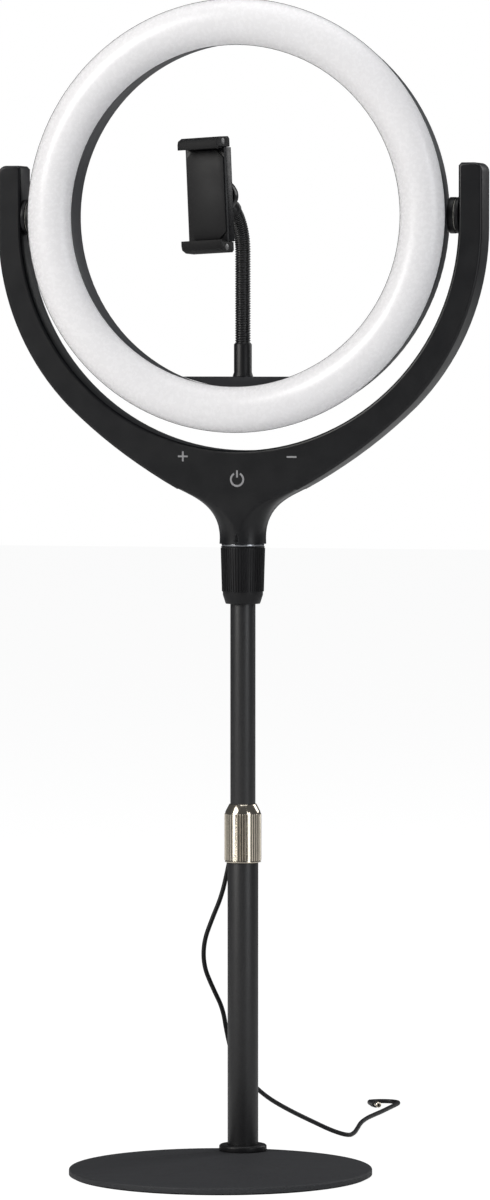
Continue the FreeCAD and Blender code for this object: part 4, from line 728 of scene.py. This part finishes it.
def round_rim(node, level, radius, start, steps=4, fade=0.012):
    """Rounds the rim of the flat face at one depth, above a height where the rounding fades in."""
    work = bmesh.new()
    work.from_mesh(frame["nodes"][node].data)
    bmesh.ops.remove_doubles(work, verts=work.verts, dist=1e-6)
    flat = {face for face in work.faces if all(abs(corner.co.y - level) < 1e-5 for corner in face.verts)}
    borders = {line for face in flat for line in face.edges if any(other not in flat for other in line.link_faces)}
    follow = {}
    for line in borders:
        for corner in line.verts:
            follow.setdefault(corner, []).append(line.other_vert(corner))
    rim = [min(follow, key=lambda corner: corner.co.x)]
    rim.append(follow[rim[0]][0])
    while True:
        ahead = next(corner for corner in follow[rim[-1]] if corner is not rim[-2])
        if ahead is rim[0]:
            break
        rim.append(ahead)
    flow = zip(rim, rim[1:] + rim[:1])
    if sum(first.co.x * second.co.z - second.co.x * first.co.z for first, second in flow) < 0:
        rim.reverse()
    known = set(rim)
    holes = [line for line in borders if not known.issuperset(line.verts)]
    bmesh.ops.delete(work, geom=list(flat), context="FACES")
    inward = []
    for index, corner in enumerate(rim):
        before = (corner.co - rim[index - 1].co).normalized()
        after = (rim[(index + 1) % len(rim)].co - corner.co).normalized()
        first = Vector((-before.z, 0.0, before.x))
        second = Vector((-after.z, 0.0, after.x))
        inward.append((first + second) / max(0.4, 1.0 + first.dot(second)))
    places = [corner.co.copy() for corner in rim]
    rings = [rim]
    for step in range(steps + 1):
        turn = math.pi / 2 * step / steps
        inside = abs(radius) * (1.0 - math.cos(turn))
        shift = radius * (1.0 - math.sin(turn))
        if step:
            rings.append([work.verts.new(place) for place in places])
        for corner, place, way in zip(rings[-1], places, inward):
            corner.co = place + way * inside
            corner.co.y = level + shift * min(1.0, max(0.0, (place.z - start) / fade))
    for outer, inner in zip(rings, rings[1:]):
        for index in range(len(rim)):
            work.faces.new((outer[index - 1], outer[index], inner[index], inner[index - 1]))
    last = rings[-1]
    edges = [work.edges.get((last[index - 1], last[index])) for index in range(len(last))]
    made = bmesh.ops.triangle_fill(work, use_beauty=True, edges=edges + holes)["geom"]
    bmesh.ops.recalc_face_normals(work, faces=work.faces)
    work.faces.index_update()
    level_faces = [item.index for item in made if isinstance(item, bmesh.types.BMFace)]
    mesh = bpy.data.meshes.new(node + "_fine")
    work.to_mesh(mesh)
    work.free()
    smooth(mesh, 40.0)
    for index in level_faces:
        mesh.polygons[index].use_smooth = False
    piece = new_piece(node + "_fine", mesh, body_of(node), slot_of(node))
    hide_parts(node)


def make_yoke():
    size = sizes()
    arms = low("yoke_front").z + ARMS_RISE
    front = min(corner.co.y for corner in frame["nodes"]["yoke_front"].data.vertices if corner.co.z > arms)
    back = max(corner.co.y for corner in frame["nodes"]["yoke_back"].data.vertices if corner.co.z > arms)
    stem = low("yoke_front").z + STEM_RISE
    round_rim("yoke_front", front, size.yoke_edge, stem)
    round_rim("yoke_back", back, -size.yoke_edge, stem)
    finish_nodes("yoke_screws", "control_board", "touch_springs", "touch_icons", "pivot_nuts")
    refine("pivot_bushes", 0.0004)
    refine("friction_washers", 0.0001)


def make_ring():
    edge = sizes().rim_edge
    refine("ring_shell", edge)
    refine("diffuser", 0.0003)
    for node in ("pivot_hub_left", "pivot_hub_right"):
        refine(node, 0.0005)
    finish_nodes("led_board", "leds", "ring_screws", "hub_screws", "bracket_screws")
    refine("holder_bracket", 0.0006)


def make_neck():
    size = sizes()
    refine("neck_base", 0.0004)
    refine("neck_ferrule", 0.0004)
    finish_nodes("ball_stud")
    foot = low("neck_sleeve").z
    ahead = Vector((-math.sin(size.neck_yaw), -math.cos(size.neck_yaw), 0.0))
    start = Vector((0, 0, foot))
    bend = start + Vector((0, 0, size.neck_straight))
    centre = bend + ahead * size.neck_bend
    points = [start + (bend - start) * (step / 8) for step in range(8)]
    for step in range(13):
        turn = size.neck_turn * step / 12
        rise = Vector((0, 0, size.neck_bend * math.sin(turn)))
        points.append(centre - ahead * (size.neck_bend * math.cos(turn)) + rise)
    curve = bpy.data.curves.new("gooseneck_path", "CURVE")
    curve.dimensions = "3D"
    spline = curve.splines.new("POLY")
    spline.points.add(len(points) - 1)
    for point, place in zip(spline.points, points):
        point.co = (*place, 1.0)

    tree = bpy.data.node_groups.new("gooseneck", "GeometryNodeTree")
    tree.is_modifier = True
    face = tree.interface
    face.new_socket("Geometry", in_out="INPUT", socket_type="NodeSocketGeometry")
    face.new_socket("Geometry", in_out="OUTPUT", socket_type="NodeSocketGeometry")
    inputs = []
    for label, value in (("Pitch", size.coil_pitch), ("Radius", size.coil_radius - size.coil_pitch * 0.42),
                         ("Wire", size.coil_pitch * 0.42)):
        item = face.new_socket(label, in_out="INPUT", socket_type="NodeSocketFloat")
        item.default_value = value
        inputs.append((item.identifier, value))
    make = tree.nodes.new
    link = tree.links.new
    entry = make("NodeGroupInput")
    out = make("NodeGroupOutput")
    spaced = make("GeometryNodeResampleCurve")
    spaced.mode = "LENGTH"
    even = make("GeometryNodeResampleCurve")
    even.mode = "LENGTH"
    even.inputs["Length"].default_value = 0.0026
    loop = make("GeometryNodeCurvePrimitiveCircle")
    loop.inputs["Resolution"].default_value = 36
    wire = make("GeometryNodeCurvePrimitiveCircle")
    wire.inputs["Resolution"].default_value = 8
    turn_mesh = make("GeometryNodeCurveToMesh")
    core_loop = make("GeometryNodeCurvePrimitiveCircle")
    core_loop.inputs["Resolution"].default_value = 36
    core = make("GeometryNodeCurveToMesh")
    core.inputs["Fill Caps"].default_value = True
    tangent = make("GeometryNodeInputTangent")
    align = make("FunctionNodeAlignRotationToVector")
    align.axis = "Z"
    spots = make("GeometryNodeInstanceOnPoints")
    join = make("GeometryNodeJoinGeometry")
    real = make("GeometryNodeRealizeInstances")
    paint = make("GeometryNodeSetMaterial")
    paint.inputs["Material"].default_value = finishes["gooseneck_metal"]
    link(entry.outputs["Geometry"], spaced.inputs["Curve"])
    link(entry.outputs["Pitch"], spaced.inputs["Length"])
    link(entry.outputs["Geometry"], even.inputs["Curve"])
    link(entry.outputs["Radius"], loop.inputs["Radius"])
    link(entry.outputs["Wire"], wire.inputs["Radius"])
    link(loop.outputs["Curve"], turn_mesh.inputs["Curve"])
    link(wire.outputs["Curve"], turn_mesh.inputs["Profile Curve"])
    link(entry.outputs["Radius"], core_loop.inputs["Radius"])
    link(even.outputs[0], core.inputs["Curve"])
    link(core_loop.outputs["Curve"], core.inputs["Profile Curve"])
    link(tangent.outputs[0], align.inputs["Vector"])
    link(spaced.outputs[0], spots.inputs["Points"])
    link(turn_mesh.outputs[0], spots.inputs["Instance"])
    link(align.outputs[0], spots.inputs["Rotation"])
    link(spots.outputs[0], join.inputs[0])
    link(core.outputs[0], join.inputs[0])
    link(join.outputs[0], real.inputs[0])
    link(real.outputs[0], paint.inputs["Geometry"])
    link(paint.outputs[0], out.inputs[0])
    path = bpy.data.objects.new("gooseneck_path", curve)
    bpy.context.scene.collection.objects.link(path)
    modifier = path.modifiers.new("coil", "NODES")
    modifier.node_group = tree
    for identifier, value in inputs:
        modifier[identifier] = value
    view = bpy.context.evaluated_depsgraph_get()
    mesh = bpy.data.meshes.new_from_object(path.evaluated_get(view))
    bpy.data.objects.remove(path)
    mesh.shade_smooth()
    sleeve = bpy.data.objects.new("gooseneck", mesh)
    bpy.context.scene.collection.objects.link(sleeve)
    dress(sleeve, "gooseneck_metal")
    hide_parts("neck_sleeve")
    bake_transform(sleeve)


def make_holder():
    for node in ("clamp_body", "clamp_pad", "clamp_channel", "socket_nut", "clamp_socket"):
        refine(node, 0.0003)
    for node in ("lower_jaw", "upper_jaw"):
        refine(node, 0.0009)
    for node in ("lower_jaw_pin", "upper_jaw_pin"):
        refine(node, 0.0003)
    finish_nodes("ball_liner", "jaw_slider", "clamp_springs", "lower_jaw_pad", "upper_jaw_pad")


STEPS = (
    operator("Stage", "Makes the camera, the floor, the world and the lamps", make_stage),
    operator("Cable", "Makes the supply cable with its plug", make_cable),
    operator("Base", "Rounds the base's edges and gives it its coat", make_base),
    operator("Pole", "Finishes the two tubes and the cable's grommet", make_pole),
    operator("Clamp nut", "Makes the knurled clamp nut", make_clamp_nut),
    operator("Collar nut", "Makes the ribbed collar nut and its washer", make_collar_nut),
    operator("Yoke", "Rounds the yoke's shells and finishes what they hold", make_yoke),
    operator("Ring", "Finishes the ring, its diffuser and its hubs", make_ring),
    operator("Gooseneck", "Makes the gooseneck with its ferrules", make_neck),
    operator("Holder", "Finishes the phone holder", make_holder),
)


class RINGLIGHT_PT_panel(bpy.types.Panel):
    """Lists the pieces, the sizes and the colours"""

    bl_label = "Ring light"
    bl_idname = "RINGLIGHT_PT_panel"
    bl_space_type = "VIEW_3D"
    bl_region_type = "UI"
    bl_category = "Ring light"

    def draw(self, context):
        for step in STEPS:
            self.layout.operator(step.bl_idname)
        for group in (context.scene.ringlight_sizes, context.scene.ringlight_colours):
            for name in group.__annotations__:
                self.layout.prop(group, name)


CLASSES = (RINGLIGHT_PG_sizes, RINGLIGHT_PG_colours, *STEPS, RINGLIGHT_PT_panel)


def register():
    for item in CLASSES:
        bpy.utils.register_class(item)
    bpy.types.Scene.ringlight_sizes = bpy.props.PointerProperty(type=RINGLIGHT_PG_sizes)
    bpy.types.Scene.ringlight_colours = bpy.props.PointerProperty(type=RINGLIGHT_PG_colours)


def unregister():
    del bpy.types.Scene.ringlight_colours
    del bpy.types.Scene.ringlight_sizes
    for item in reversed(CLASSES):
        bpy.utils.unregister_class(item)


def main():
    register()
    finishes.update(make_finishes())
    for step in STEPS:
        getattr(bpy.ops.ringlight, step.bl_idname.split(".")[1])()


if __name__ == "__main__":
    main()
